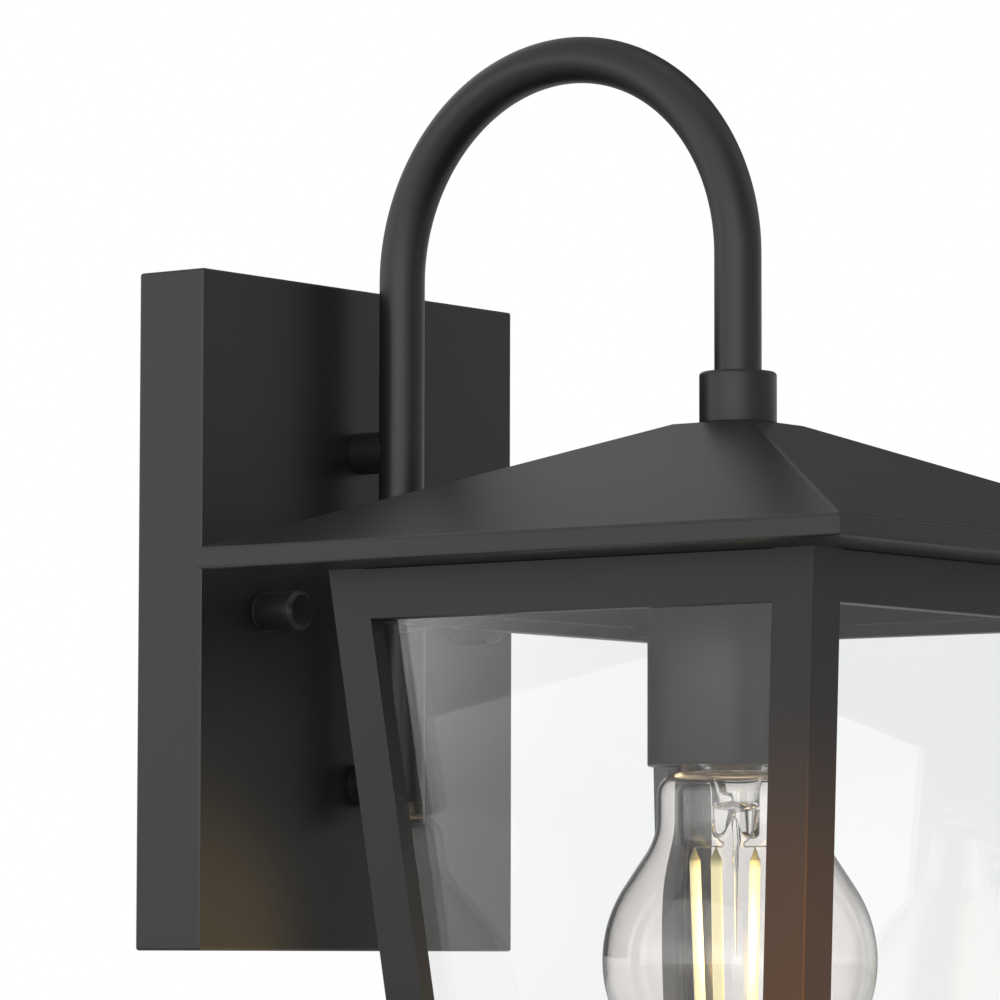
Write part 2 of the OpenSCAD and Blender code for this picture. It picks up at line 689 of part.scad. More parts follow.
// Lead from a socket terminal through nipple, arm and lower stand-off to a connector on the +X side
module lead() {
  exit_y = shank_end_y;
  translate([lead_x, 0, 0]) {
    arm_route(lead_d / 2, tab_top_z, -standoff_z + lead_bend);
    translate([0, -back_leg_y + lead_bend, -standoff_z + lead_bend]) bend_yz(lead_bend, lead_d / 2, 180, 90);
    outward(0, exit_y, -standoff_z) cylinder(h = back_leg_y - lead_bend - exit_y, d = lead_d);
    translate([lead_bend, -exit_y, -standoff_z]) rotate([0, 0, 90]) rotate_extrude(angle = 90)
      translate([lead_bend, 0]) circle(d = lead_d);
  }
  translate([lead_x + lead_bend, lead_bend - exit_y, -standoff_z]) rotate([0, 90, 0])
    cylinder(h = connector_x + connector_bore_l - seat_gap - lead_x - lead_bend, d = lead_d);
}

module lead_neutral() {
  color("white") lead();
}

module lead_live() {
  color("black") mirror([1, 0, 0]) lead();
}

// Cone-shaped connectors in which the leads end
module wire_connectors() {
  color("orange") for (side = [0, 1]) mirror([side, 0, 0])
    translate([connector_x, lead_bend - shank_end_y, -standoff_z]) rotate([0, 90, 0]) difference() {
      rotate_extrude() polygon([
        [0, 0], [connector_r, 0], [connector_r, connector_l / 3],
        [connector_r * 2 / 3, connector_l], [0, connector_l]
      ]);
      translate([0, 0, -cut]) cylinder(h = connector_bore_l + cut, r = lead_d / 2 + fit_gap);
    }
}

// L-shaped corner post, drawn at the front left and turned to the other corners
module corner_post(turn) {
  color("dimgray") at_lantern() rotate([0, 0, 90 * turn]) {
    cage_bar([-1, 0], [-1, post_w], [-1, 0], [-1, frame_t], cage_bottom_z, cage_top_z);
    cage_bar([-1, 0], [-1, frame_t], [-1, 0], [-1, post_w], cage_bottom_z, cage_top_z);
  }
}

// Rail between two posts, drawn at the front and turned to the other sides
module cage_rail(turn, z_lo) {
  color("dimgray") at_lantern() rotate([0, 0, 90 * turn])
    cage_bar([-1, post_w], [1, post_w], [-1, 0], [-1, frame_t], z_lo, z_lo + rail_h);
}

module glass_pane(turn) {
  pane_side = pane_back + glass_gap;
  color("lightblue", 0.3) at_lantern() rotate([0, 0, 90 * turn])
    cage_bar([-1, pane_side], [1, pane_side], [-1, pane_front], [-1, pane_back], pane_bottom_z, pane_top_z);
}

// Clip with a foot on a rail, a ledge at the pane's edge and a lip behind the pane
module glass_clip(x, edge_z, away) {
  ledge_z = edge_z + away * seat_gap;
  heights = [ledge_z, ledge_z + away * clip_t];
  foot = [heights[0], ledge_z + away * clip_foot];
  lip = [heights[1], ledge_z - away * clip_lip];
  x_lo = [0, x - clip_w / 2];
  x_hi = [0, x + clip_w / 2];
  cage_bar(x_lo, x_hi, [-1, frame_t], [-1, frame_t + clip_t], min(foot), max(foot));
  cage_bar(x_lo, x_hi, [-1, frame_t], [-1, clip_back + clip_t], min(heights), max(heights));
  cage_bar(x_lo, x_hi, [-1, clip_back], [-1, clip_back + clip_t], min(lip), max(lip));
}

module glass_clips() {
  color("gray") at_lantern() for (turn = [0:3]) rotate([0, 0, 90 * turn]) for (side = [-1, 1]) {
    glass_clip(side * lower_clip_x, pane_bottom_z, -1);
    glass_clip(side * upper_clip_x, pane_top_z, 1);
  }
}

// Lathe profile of the bulb, drawn in by an inset: tip, globe, leaning shoulder, neck, rounded end
function bulb_profile(inset) = concat(
  [[0, tip_z + inset]],
  arc_points([0, globe_z], bulb_d / 2 - inset, -pole_angle, shoulder_angle),
  [[bulb_neck_d / 2 - inset, bulb_neck_z]],
  arc_points([bulb_neck_d / 2 - neck_round, neck_round_z], neck_round - inset, 0, pole_angle, 8),
  [
    [bulb_seat_r - inset, base_rim_z], [bulb_seat_r - inset, base_rim_z + neck_seat],
    [0, base_rim_z + neck_seat]
  ]
);

module bulb_glass() {
  color("lightblue", 0.3) at_lantern() difference() {
    rotate_extrude() polygon(bulb_profile(0));
    rotate_extrude() polygon(bulb_profile(bulb_t));
    rod_z(bulb_seat_r - bulb_t, base_rim_z, base_rim_z + neck_seat + cut);
  }
}

module bulb_base() {
  color("silver") at_lantern() difference() {
    rod_z(base_d / 2, base_rim_z, shell_top_z);
    rod_z(base_d / 2 - brass_t, base_rim_z - cut, shell_top_z + cut);
  }
}

// Dark cone between the base's shell and its contact
module bulb_insulator() {
  plug_r = base_d / 2 - brass_t - thread_gap;
  color("black") at_lantern() translate([0, 0, shell_top_z]) rotate_extrude() polygon([
    [0, -insulator_plug], [plug_r, -insulator_plug], [plug_r, 0], [base_d / 2, 0],
    [base_d / 4, insulator_l], [0, insulator_l]
  ]);
}

module bulb_contact() {
  color("gray") at_lantern() rod_z(base_d / 5, contact_z - contact_t, contact_z);
}

// Small round board in the base that feeds the filaments, with a capacitor under it and a coil on it
module bulb_driver() {
  color("green") at_lantern() {
    rod_z(base_d / 2 - brass_t - thread_gap, board_z - board_t, board_z);
    rod_z(capacitor_d / 2, board_z - board_t - capacitor_l, board_z - board_t);
    rod_z(capacitor_d / 4, board_z, shell_top_z - insulator_plug - seat_gap);
  }
}

// Glass stem: a flare fused to the neck, a tube and a flat pinch
module bulb_stem() {
  wall_line = [
    [flare_r, base_rim_z + neck_seat], [flare_r, base_rim_z],
    [stem_r + flare_l / 3, base_rim_z - flare_l / 2], [stem_r, base_rim_z - flare_l],
    [stem_r, stem_bottom_z + pinch_h - stem_t]
  ];
  color("lightblue", 0.5) at_lantern() {
    rotate_extrude() polygon(concat(
      wall_line, [for (i = [len(wall_line) - 1:-1:0]) wall_line[i] - [stem_t, 0]]
    ));
    translate([-pinch_w / 2, -pinch_t / 2, stem_bottom_z]) cube([pinch_w, pinch_t, pinch_h]);
  }
}

// Point on a filament's line at height z: the lines lean in towards their lower ends
function filament_at(i, z) =
  let (
    a = filament_turn + 360 / filament_count * i,
    r = filament_top_r + (filament_bottom_r - filament_top_r) * (filament_top_z - z) / filament_l
  ) [r * cos(a), r * sin(a), z];

module filaments() {
  color("khaki") at_lantern() for (i = [0:filament_count - 1]) {
    top = filament_at(i, filament_top_z);
    run = filament_at(i, filament_top_z - filament_l) - top;
    translate(top) rotate([0, acos(run[2] / norm(run)), atan2(run[1], run[0])])
      cylinder(h = norm(run), d = filament_d);
  }
}

// Thin wire between two points, with round ends
module wire(a, b) {
  hull() for (end = [a, b]) translate(end) sphere(d = support_d, $fn = 8);
}

// Wires from the stem's pinch to the filaments' ends, and the crown that joins the lower ends
module filament_wires() {
  low_z = filament_top_z - filament_l - filament_cap_l;
  color("silver") at_lantern() {
    wire([0, 0, low_z], [0, 0, crown_z]);
    for (i = [0:filament_count - 1]) {
      wire([0, 0, low_z], filament_at(i, low_z));
      wire(filament_at(i, low_z), filament_at(i, filament_top_z - filament_l - wire_gap));
      wire(filament_at(i, filament_top_z + wire_gap), filament_at(i, crown_z));
      wire(filament_at(i, crown_z), [0, 0, crown_z]);
    }
  }
}

mounting_strap();
mounting_studs();
stud_nuts();
ground_screw();
ground_lead();
ground_terminal();
backplate();
seal(-1);  // seal_left
seal(1);  // seal_right
cap_nut(-1);  // cap_nut_left
cap_nut(1);  // cap_nut_right
standoff(1);  // upper_standoff
standoff(-1);  // lower_standoff
standoff_washers();
standoff_nuts();
gooseneck_tube();
tube_plug();
collar();
roof_washer();
roof_nut();
threaded_nipple();
roof();
ceiling_plate();
socket_cup();
socket_body();
socket_cap();
socket_cap_screws();
socket_lock_nut();
screw_shell();
centre_contact();
lead_live();
lead_neutral();
wire_connectors();
glass_clips();
bulb_glass();
bulb_base();
bulb_insulator();
bulb_contact();
bulb_driver();
bulb_stem();
filaments();
filament_wires();
for (turn = [0:3]) {
  corner_post(turn);
  cage_rail(turn, cage_top_z - rail_h);
  cage_rail(turn, cage_bottom_z);
  glass_pane(turn);
}
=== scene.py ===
"""Looks of the outdoor wall lantern: finishes, fine pieces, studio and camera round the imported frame."""

import json
import logging
import math
from dataclasses import dataclass
from enum import Enum
from typing import Any, Callable, Optional, Sequence, Union

import bmesh
import bpy
from mathutils import Matrix, Vector

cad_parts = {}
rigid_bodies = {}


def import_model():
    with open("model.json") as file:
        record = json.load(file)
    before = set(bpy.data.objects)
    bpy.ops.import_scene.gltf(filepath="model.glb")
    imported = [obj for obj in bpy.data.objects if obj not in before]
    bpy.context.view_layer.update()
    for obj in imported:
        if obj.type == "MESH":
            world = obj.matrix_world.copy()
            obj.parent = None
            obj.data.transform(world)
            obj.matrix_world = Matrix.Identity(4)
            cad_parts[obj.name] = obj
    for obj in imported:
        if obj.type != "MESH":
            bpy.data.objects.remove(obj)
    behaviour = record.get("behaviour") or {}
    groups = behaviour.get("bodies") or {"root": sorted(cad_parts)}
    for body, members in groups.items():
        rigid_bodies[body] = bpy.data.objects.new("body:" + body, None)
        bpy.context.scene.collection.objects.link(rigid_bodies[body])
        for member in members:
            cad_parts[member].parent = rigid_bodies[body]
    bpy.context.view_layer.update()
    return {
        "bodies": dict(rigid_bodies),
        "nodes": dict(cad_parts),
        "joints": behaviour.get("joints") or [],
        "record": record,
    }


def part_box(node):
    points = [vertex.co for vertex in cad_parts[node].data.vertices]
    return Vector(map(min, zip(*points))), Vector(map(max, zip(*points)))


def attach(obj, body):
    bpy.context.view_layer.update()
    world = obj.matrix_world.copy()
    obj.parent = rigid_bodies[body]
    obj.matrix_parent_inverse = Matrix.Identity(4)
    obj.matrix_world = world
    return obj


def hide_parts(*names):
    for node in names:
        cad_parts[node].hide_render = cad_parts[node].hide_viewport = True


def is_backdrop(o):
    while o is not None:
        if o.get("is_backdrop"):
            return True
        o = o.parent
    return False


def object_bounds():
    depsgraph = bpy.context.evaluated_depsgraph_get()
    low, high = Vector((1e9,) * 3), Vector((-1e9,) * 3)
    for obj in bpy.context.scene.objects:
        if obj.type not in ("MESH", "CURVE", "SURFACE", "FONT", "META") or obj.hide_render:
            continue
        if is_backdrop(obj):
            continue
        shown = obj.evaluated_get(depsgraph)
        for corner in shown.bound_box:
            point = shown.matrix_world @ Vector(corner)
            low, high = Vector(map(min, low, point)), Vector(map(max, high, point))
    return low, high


LOG = logging.getLogger("lantern")
MM = 0.001  # one millimetre in metres
WELD = 2e-6  # points closer than this are one
ON_AXIS = 1e-7  # a profile's point nearer to the axis than this closes it
FLAT = 0.5  # degrees; triangles that meet flatter than this are one face
EDGE = 25.0  # degrees; only an edge sharper than this is eased
CREASE = 35.0  # degrees; an edge sharper than this stays sharp when smoothed
EDGE_WEAR_AND_HIGHLIGHT = "worn"  # attribute: 1 on eased edges, which the finishes paint lighter as wear and as a painted highlight
GLOW = "glow"  # attribute: how brightly a filament glows

Point = tuple[float, float]
Colour = tuple[float, float, float, float]
Test = Callable[[bmesh.types.BMEdge], bool]


class Body(Enum):
    """The bodies that the new pieces ride on."""

    FIXTURE = "fixture"
    LAMP = "lamp"
    LEFT_NUT = "left_nut"
    RIGHT_NUT = "right_nut"


class Slot(Enum):
    """The record's material slots."""

    BLACK_PAINT = "black_paint"
    ZINC_STEEL = "zinc_steel"
    CLIP_STEEL = "clip_steel"
    GREEN_SCREW = "green_screw"
    COPPER = "copper"
    RUBBER = "rubber"
    PORCELAIN = "porcelain"
    BRASS = "brass"
    BLACK_INSULATION = "black_insulation"
    WHITE_INSULATION = "white_insulation"
    ORANGE_PLASTIC = "orange_plastic"
    PANE_GLASS = "pane_glass"
    BULB_GLASS = "bulb_glass"
    STEM_GLASS = "stem_glass"
    NICKEL = "nickel"
    BLACK_INSULATOR = "black_insulator"
    SOLDER = "solder"
    DRIVER_BOARD = "driver_board"
    FILAMENT = "filament"
    WIRE_STEEL = "wire_steel"


# ---------------------------------------------------------------- node trees


class Link:
    """An output socket that takes part in Python expressions; each operator adds one Math node."""

    def __init__(self, tree: "Tree", socket: Any) -> None:
        """Wraps a socket of a tree."""
        self.tree, self.socket = tree, socket

    def _math(self, operation: str, *values: Any, clamp: bool = False) -> "Link":
        """Adds a Math node.

        Args:
            operation: what the node does.
            values: its inputs in order, links or numbers.
            clamp: holds the result between 0 and 1.

        Returns:
            The result.
        """
        settings = {"operation": operation, "use_clamp": clamp}
        made = self.tree.node("ShaderNodeMath", settings, dict(enumerate(values)))
        return self.tree.out(made)

    def __add__(self, other: Any) -> "Link":
        """Sum."""
        return self._math("ADD", self, other)

    __radd__ = __add__

    def __sub__(self, other: Any) -> "Link":
        """Difference."""
        return self._math("SUBTRACT", self, other)

    def __rsub__(self, other: Any) -> "Link":
        """Difference with the sides swapped."""
        return self._math("SUBTRACT", other, self)

    def __mul__(self, other: Any) -> "Link":
        """Product."""
        return self._math("MULTIPLY", self, other)

    __rmul__ = __mul__

    def exponent(self) -> "Link":
        """The natural exponential of the value."""
        return self._math("EXPONENT", self)

    def larger(self, other: Any) -> "Link":
        """The larger of the two."""
        return self._math("MAXIMUM", self, other)

    def clamped(self) -> "Link":
        """The value held between 0 and 1."""
        return self._math("ADD", self, 0.0, clamp=True)


class Tree:
    """A node tree under construction."""

    def __init__(self, tree: bpy.types.NodeTree) -> None:
        """Keeps the tree that the nodes go into."""
        self.tree = tree

    @classmethod
    def shading(cls, owner: Union[bpy.types.Material, bpy.types.World]) -> "Tree":
        """Starts an empty shader tree.

        Args:
            owner: the material or the world that it dresses.

        Returns:
            The tree.
        """
        owner.use_nodes = True
        owner.node_tree.nodes.clear()
        return cls(owner.node_tree)

    def feed(self, socket: Any, value: Any) -> None:
        """Links an input socket, or sets its own value.

        Args:
            socket: the input.
            value: a Link, a list of Links for an input that takes several, or a plain value.
        """
        if isinstance(value, Link):
            self.tree.links.new(value.socket, socket)
        elif isinstance(value, list):
            for one in value:
                self.feed(socket, one)
        else:
            socket.default_value = value

    def node(
        self,
        kind: str,
        settings: Optional[dict[str, Any]] = None,
        values: Optional[dict[Union[str, int], Any]] = None,
    ) -> Any:
        """Adds any node.

        Args:
            kind: the node's type.
            settings: its properties, set first.
            values: values or links for its input sockets, by name or index.

        Returns:
            The node.
        """
        made = self.tree.nodes.new(kind)
        for key, value in (settings or {}).items():
            setattr(made, key, value)
        for key, value in (values or {}).items():
            self.feed(made.inputs[key], value)
        return made

    def out(self, node: Any, name: Union[str, int] = 0) -> Link:
        """One output of a node as a Link."""
        return Link(self, node.outputs[name])

    def place(self) -> Link:
        """The point on the surface, in the object's own metres."""
        return self.out(self.node("ShaderNodeTexCoord"), "Object")

    def scaled_place(self, scale: tuple[float, float, float]) -> Link:
        """The point with each axis scaled."""
        return self.out(self.node("ShaderNodeMapping", None, {"Vector": self.place(), "Scale": scale}))

    def noise(self, grain: float, detail: float = 3.0, place: Optional[Link] = None) -> Link:
        """Soft noise from 0 to 1.

        Args:
            grain: the size of its patches in metres.
            detail: how many finer layers it has.
            place: the coordinates, or None for the object's own.

        Returns:
            The noise as a Link.
        """
        values = {"Vector": place or self.place(), "Scale": 1 / grain, "Detail": detail}
        made = self.node("ShaderNodeTexNoise", None, values)
        return self.out(made, "Fac")

    def attribute(self, name: str) -> Link:
        """A number that the mesh carries at each point."""
        return self.out(self.node("ShaderNodeAttribute", {"attribute_name": name}), "Fac")

    def colour_mix(self, factor: Any, first: Any, second: Any) -> Link:
        """A blend of two colours."""
        values = {0: factor, 6: first, 7: second}
        return self.out(self.node("ShaderNodeMix", {"data_type": "RGBA"}, values), 2)

    def shader_mix(self, factor: Link, first: Link, second: Link) -> Link:
        """The first shader where the factor is 0, the second where it is 1."""
        return self.out(self.node("ShaderNodeMixShader", None, {0: factor, 1: first, 2: second}))

    def bump(self, height: Link, depth: float) -> Link:
        """A bump normal from a height field from 0 to 1 that is so many metres deep."""
        return self.out(self.node("ShaderNodeBump", None, {"Height": height, "Distance": depth}))


# ---------------------------------------------------------------- finishes


def rgb(red: float, green: float, blue: float) -> Colour:
    """An opaque colour."""
    return (red, green, blue, 1.0)


def shade(colour: Sequence[float], by: float) -> Colour:
    """The colour made lighter or darker by a factor."""
    return rgb(*(min(1.0, c * by) for c in colour[:3]))


@dataclass(frozen=True)
class Finish:
    """What every finish shares.

    A fine grain gives the bump, broad clouds mottle the colour by a share of it, and both swing the
    roughness by a little about its own value.
    """

    colour: Colour = rgb(0.5, 0.5, 0.5)
    roughness: float = 0.4
    grain: float = 0.6 * MM
    depth: float = 0.01 * MM
    mottle: float = 0.06
    specular: float = 0.5
    cloud_grains: float = 40
    fine_swing: float = 0.12
    cloud_swing: float = 0.08

    def toned(self, tree: Tree, cloud: Link) -> Link:
        """The colour, a little darker and lighter with the clouds."""
        dark, light = shade(self.colour, 1 - self.mottle), shade(self.colour, 1 + self.mottle)
        return tree.colour_mix(cloud, dark, light)

    def roughened(self, fine: Link, cloud: Link) -> Link:
        """The roughness, which swings with the grain and the clouds about their middles."""
        return (fine - 0.5) * self.fine_swing + (cloud - 0.5) * self.cloud_swing + self.roughness

    def surface(self, tree: Tree) -> dict[str, Any]:
        """The values and links of the Principled shader's sockets.

        Args:
            tree: the tree in which the nodes are added.

        Returns:
            Socket names with their values or links.
        """
        fine = tree.noise(self.grain)
        cloud = tree.noise(self.grain * self.cloud_grains, detail=4)
        return {
            "Base Color": self.toned(tree, cloud),
            "Roughness": self.roughened(fine, cloud),
            "Specular IOR Level": self.specular,
            "Normal": tree.bump(fine, self.depth),
        }

    def wrapped(self, tree: Tree, shader: Link) -> Link:
        """The shader as the output takes it; a finish may wrap it in another."""
        return shader

    def material(self, slot: Slot) -> bpy.types.Material:
        """Builds the material of a slot.

        Args:
            slot: the record's slot, which names the material.

        Returns:
            The material.
        """
        made = bpy.data.materials.new(f"finish_{slot.value}")
        tree = Tree.shading(made)
        shader = tree.out(tree.node("ShaderNodeBsdfPrincipled", None, self.surface(tree)))
        tree.node("ShaderNodeOutputMaterial", None, {"Surface": self.wrapped(tree, shader)})
        return made


@dataclass(frozen=True)
class PowderCoat(Finish):
    """Satin black powder coat: orange peel, a little dust in the tone, eased edges lighter, partly wear from
    rubbing and partly a painted highlight.
    """

    fine_swing: float = 0.06
    cloud_swing: float = 0.05
    cloud: float = 60 * MM
    peel: float = 2.2 * MM
    peel_depth: float = 0.003 * MM
    peel_share: float = 0.7
    rub: float = 5 * MM
    rub_least: float = 0.4
    # lighter colour of the eased edges: wear, and a painted highlight
    wear_and_highlight_colour: Colour = rgb(0.018, 0.018, 0.0185)
    worn_polish: float = 0.05

    def surface(self, tree: Tree) -> dict[str, Any]:
        """The coat's tone, sheen and orange peel.

        Args:
            tree: the tree in which the nodes are added.

        Returns:
            Socket names with their values or links.
        """
        worn = tree.attribute(EDGE_WEAR_AND_HIGHLIGHT)
        peel, fine = tree.noise(self.peel, detail=2), tree.noise(self.grain)
        cloud = tree.noise(self.cloud)
        # eased edges made lighter, broken up by noise: partly wear from rubbing, partly a painted highlight
        wear_and_highlight_mask = worn * (self.rub_least + (1 - self.rub_least) * tree.noise(self.rub, detail=4))
        skin = peel * self.peel_share + fine * (1 - self.peel_share)
        tone = self.toned(tree, cloud)
        return {
            "Base Color": tree.colour_mix(wear_and_highlight_mask.clamped(), tone, self.wear_and_highlight_colour),
            "Roughness": self.roughened(fine, cloud) - worn * self.worn_polish,
            "Specular IOR Level": self.specular,
            "Normal": tree.bump(skin, self.peel_depth),
        }


@dataclass(frozen=True)
class Metal(Finish):
    """Bare or plated metal with drawn streaks along one axis, brighter on its eased edges, partly wear to
    bare metal and partly a painted highlight.
    """

    fine_swing: float = 0.16
    cloud_swing: float = 0.1
    cloud: float = 12 * MM
    streak: float = 1.2 * MM
    streak_scale: tuple[float, float, float] = (1.0, 1.0, 8.0)
    streak_depth: float = 0.004 * MM
    bare_and_highlight_share: float = 0.5
    bare_and_highlight_lift: float = 1.25

    def surface(self, tree: Tree) -> dict[str, Any]:
        """The metal's tone, sheen and streaks.

        Args:
            tree: the tree in which the nodes are added.

        Returns:
            Socket names with their values or links.
        """
        streaks = tree.noise(self.streak, detail=4, place=tree.scaled_place(self.streak_scale))
        cloud = tree.noise(self.cloud)
        # eased edges made lighter: partly wear to bare metal, partly a painted highlight
        bare = tree.attribute(EDGE_WEAR_AND_HIGHLIGHT) * self.bare_and_highlight_share
        bright = shade(self.colour, self.bare_and_highlight_lift)
        return {
            "Base Color": tree.colour_mix(bare, self.toned(tree, cloud), bright),
            "Metallic": 1.0,
            "Roughness": self.roughened(streaks, cloud),
            "Normal": tree.bump(streaks, self.streak_depth),
        }


@dataclass(frozen=True)
class Glazed(Finish):
    """Fired porcelain under a clear glaze, with a few dark specks."""

    speck: float = 1.5 * MM
    speck_level: float = 0.68
    speck_edge: float = 9.0
    speck_shade: float = 0.55
    glaze: float = 0.6
    glaze_roughness: float = 0.08

    def surface(self, tree: Tree) -> dict[str, Any]:
        """The fired body's surface with specks, under the glaze.

        Args:
            tree: the tree in which the nodes are added.

        Returns:
            Socket names with their values or links.
        """
        values = Finish.surface(self, tree)
        specks = (tree.noise(self.speck, detail=2) - self.speck_level) * self.speck_edge
        dark = shade(self.colour, self.speck_shade)
        values["Base Color"] = tree.colour_mix(specks.clamped(), values["Base Color"], dark)
        values["Coat Weight"] = self.glaze
        values["Coat Roughness"] = self.glaze_roughness
        return values


@dataclass(frozen=True)
class ClearGlass(Finish):
    """Clear glass that lets the lamps' light through, with a breath of dust and wipe marks."""

    ior: float = 1.5
    shadow: Colour = rgb(0.93, 0.94, 0.94)
    wipe: float = 9 * MM
    wipe_scale: tuple[float, float, float] = (1.0, 1.0, 0.35)
    wipe_level: float = 0.7
    wipe_haze: float = 0.05
    wave: float = 35 * MM

    def surface(self, tree: Tree) -> dict[str, Any]:
        """The glass's wipe marks and faint waves.

        Args:
            tree: the tree in which the nodes are added.

        Returns:
            Socket names with their values or links.
        """
        wipes = tree.noise(self.wipe, detail=5, place=tree.scaled_place(self.wipe_scale))
        haze = (wipes - self.wipe_level) * self.wipe_haze + self.roughness
        return {
            "Base Color": self.colour,
            "Roughness": haze.larger(0.0),
            "IOR": self.ior,
            "Transmission Weight": 1.0,
            "Normal": tree.bump(tree.noise(self.wave, detail=2), self.depth),
        }

    def wrapped(self, tree: Tree, shader: Link) -> Link:
        """Lets lamp light through.

        Args:
            tree: the tree in which the nodes are added.
            shader: the glass.

        Returns:
            The glass, but clear for shadow rays.
        """
        path = tree.node("ShaderNodeLightPath")
        clear = tree.node("ShaderNodeBsdfTransparent", None, {"Color": self.shadow})
        return tree.shader_mix(tree.out(path, "Is Shadow Ray"), shader, tree.out(clear))


@dataclass(frozen=True)
class Phosphor(Finish):
    """Silicone with phosphor that glows along its length and stays dull at its bare tips."""

    glow: Colour = rgb(0.96, 0.90, 0.53)
    tip: Colour = rgb(0.13, 0.12, 0.05)
    strength: float = 1.0
    grit: float = 1.6 * MM
    grit_least: float = 0.9

    def surface(self, tree: Tree) -> dict[str, Any]:
        """The silicone's surface and its slightly uneven glow.

        Args:
            tree: the tree in which the nodes are added.

        Returns:
            Socket names with their values or links.
        """
        values = Finish.surface(self, tree)
        uneven = self.grit_least + (1 - self.grit_least) * tree.noise(self.grit)
        lit = (tree.attribute(GLOW) * uneven).clamped()
        values["Emission Color"] = tree.colour_mix(lit, self.tip, self.glow)
        values["Emission Strength"] = self.strength
        return values


@dataclass(frozen=True)
class Board(Finish):
    """Green circuit board with fine lighter tracks."""

    track: Colour = rgb(0.10, 0.22, 0.10)
    track_spacing: float = 2.4 * MM
    track_edge: float = 14.0
    track_share: float = 0.7

    def surface(self, tree: Tree) -> dict[str, Any]:
        """The board's surface with its tracks.

        Args:
            tree: the tree in which the nodes are added.

        Returns:
            Socket names with their values or links.
        """
        values = Finish.surface(self, tree)
        cells = tree.node(
            "ShaderNodeTexVoronoi",
            {"feature": "DISTANCE_TO_EDGE"},
            {"Vector": tree.place(), "Scale": 1 / self.track_spacing},
        )
        tracks = (1.0 - tree.out(cells, "Distance") * self.track_edge).clamped() * self.track_share
        values["Base Color"] = tree.colour_mix(tracks, values["Base Color"], self.track)
        return values


FINISHES: dict[Slot, Finish] = {
    Slot.BLACK_PAINT: PowderCoat(rgb(0.0105, 0.0105, 0.011), 0.36, 0.5 * MM, mottle=0.1, specular=0.42),
    Slot.ZINC_STEEL: Metal(rgb(0.62, 0.63, 0.65), 0.34, mottle=0.08),
    Slot.CLIP_STEEL: Metal(rgb(0.035, 0.035, 0.037), 0.42, mottle=0.12),
    Slot.GREEN_SCREW: Metal(rgb(0.10, 0.42, 0.16), 0.36, mottle=0.1),
    Slot.COPPER: Metal(rgb(0.86, 0.42, 0.24), 0.32, mottle=0.12),
    Slot.RUBBER: Finish(rgb(0.018, 0.018, 0.018), 0.72, 0.4 * MM, specular=0.3),
    Slot.PORCELAIN: Glazed(rgb(0.80, 0.79, 0.75), 0.22, 0.8 * MM, mottle=0.03),
    Slot.BRASS: Metal(rgb(0.82, 0.60, 0.28), 0.26, mottle=0.08),
    Slot.BLACK_INSULATION: Finish(rgb(0.02, 0.02, 0.021), 0.45, 0.5 * MM),
    Slot.WHITE_INSULATION: Finish(rgb(0.74, 0.73, 0.70), 0.45, 0.5 * MM),
    Slot.ORANGE_PLASTIC: Finish(rgb(0.78, 0.20, 0.03), 0.38, 0.5 * MM),
    Slot.PANE_GLASS: ClearGlass(rgb(0.985, 0.995, 0.99), 0.0, depth=0.002 * MM),
    Slot.BULB_GLASS: ClearGlass(rgb(0.935, 0.91, 0.90), 0.0, depth=0.01 * MM),
    Slot.STEM_GLASS: ClearGlass(rgb(0.98, 0.985, 0.98), 0.0, depth=0.02 * MM, ior=1.52),
    Slot.NICKEL: Metal(rgb(0.72, 0.71, 0.68), 0.20, mottle=0.05),
    Slot.BLACK_INSULATOR: Finish(rgb(0.012, 0.012, 0.013), 0.14, 0.8 * MM),
    Slot.SOLDER: Metal(rgb(0.62, 0.62, 0.60), 0.30, mottle=0.12),
    Slot.DRIVER_BOARD: Board(rgb(0.02, 0.12, 0.05), 0.34, 0.6 * MM),
    Slot.FILAMENT: Phosphor(rgb(0.26, 0.21, 0.08), 0.5, 0.5 * MM),
    Slot.WIRE_STEEL: Metal(rgb(0.56, 0.55, 0.53), 0.24, mottle=0.06),
}


# ---------------------------------------------------------------- mesh making


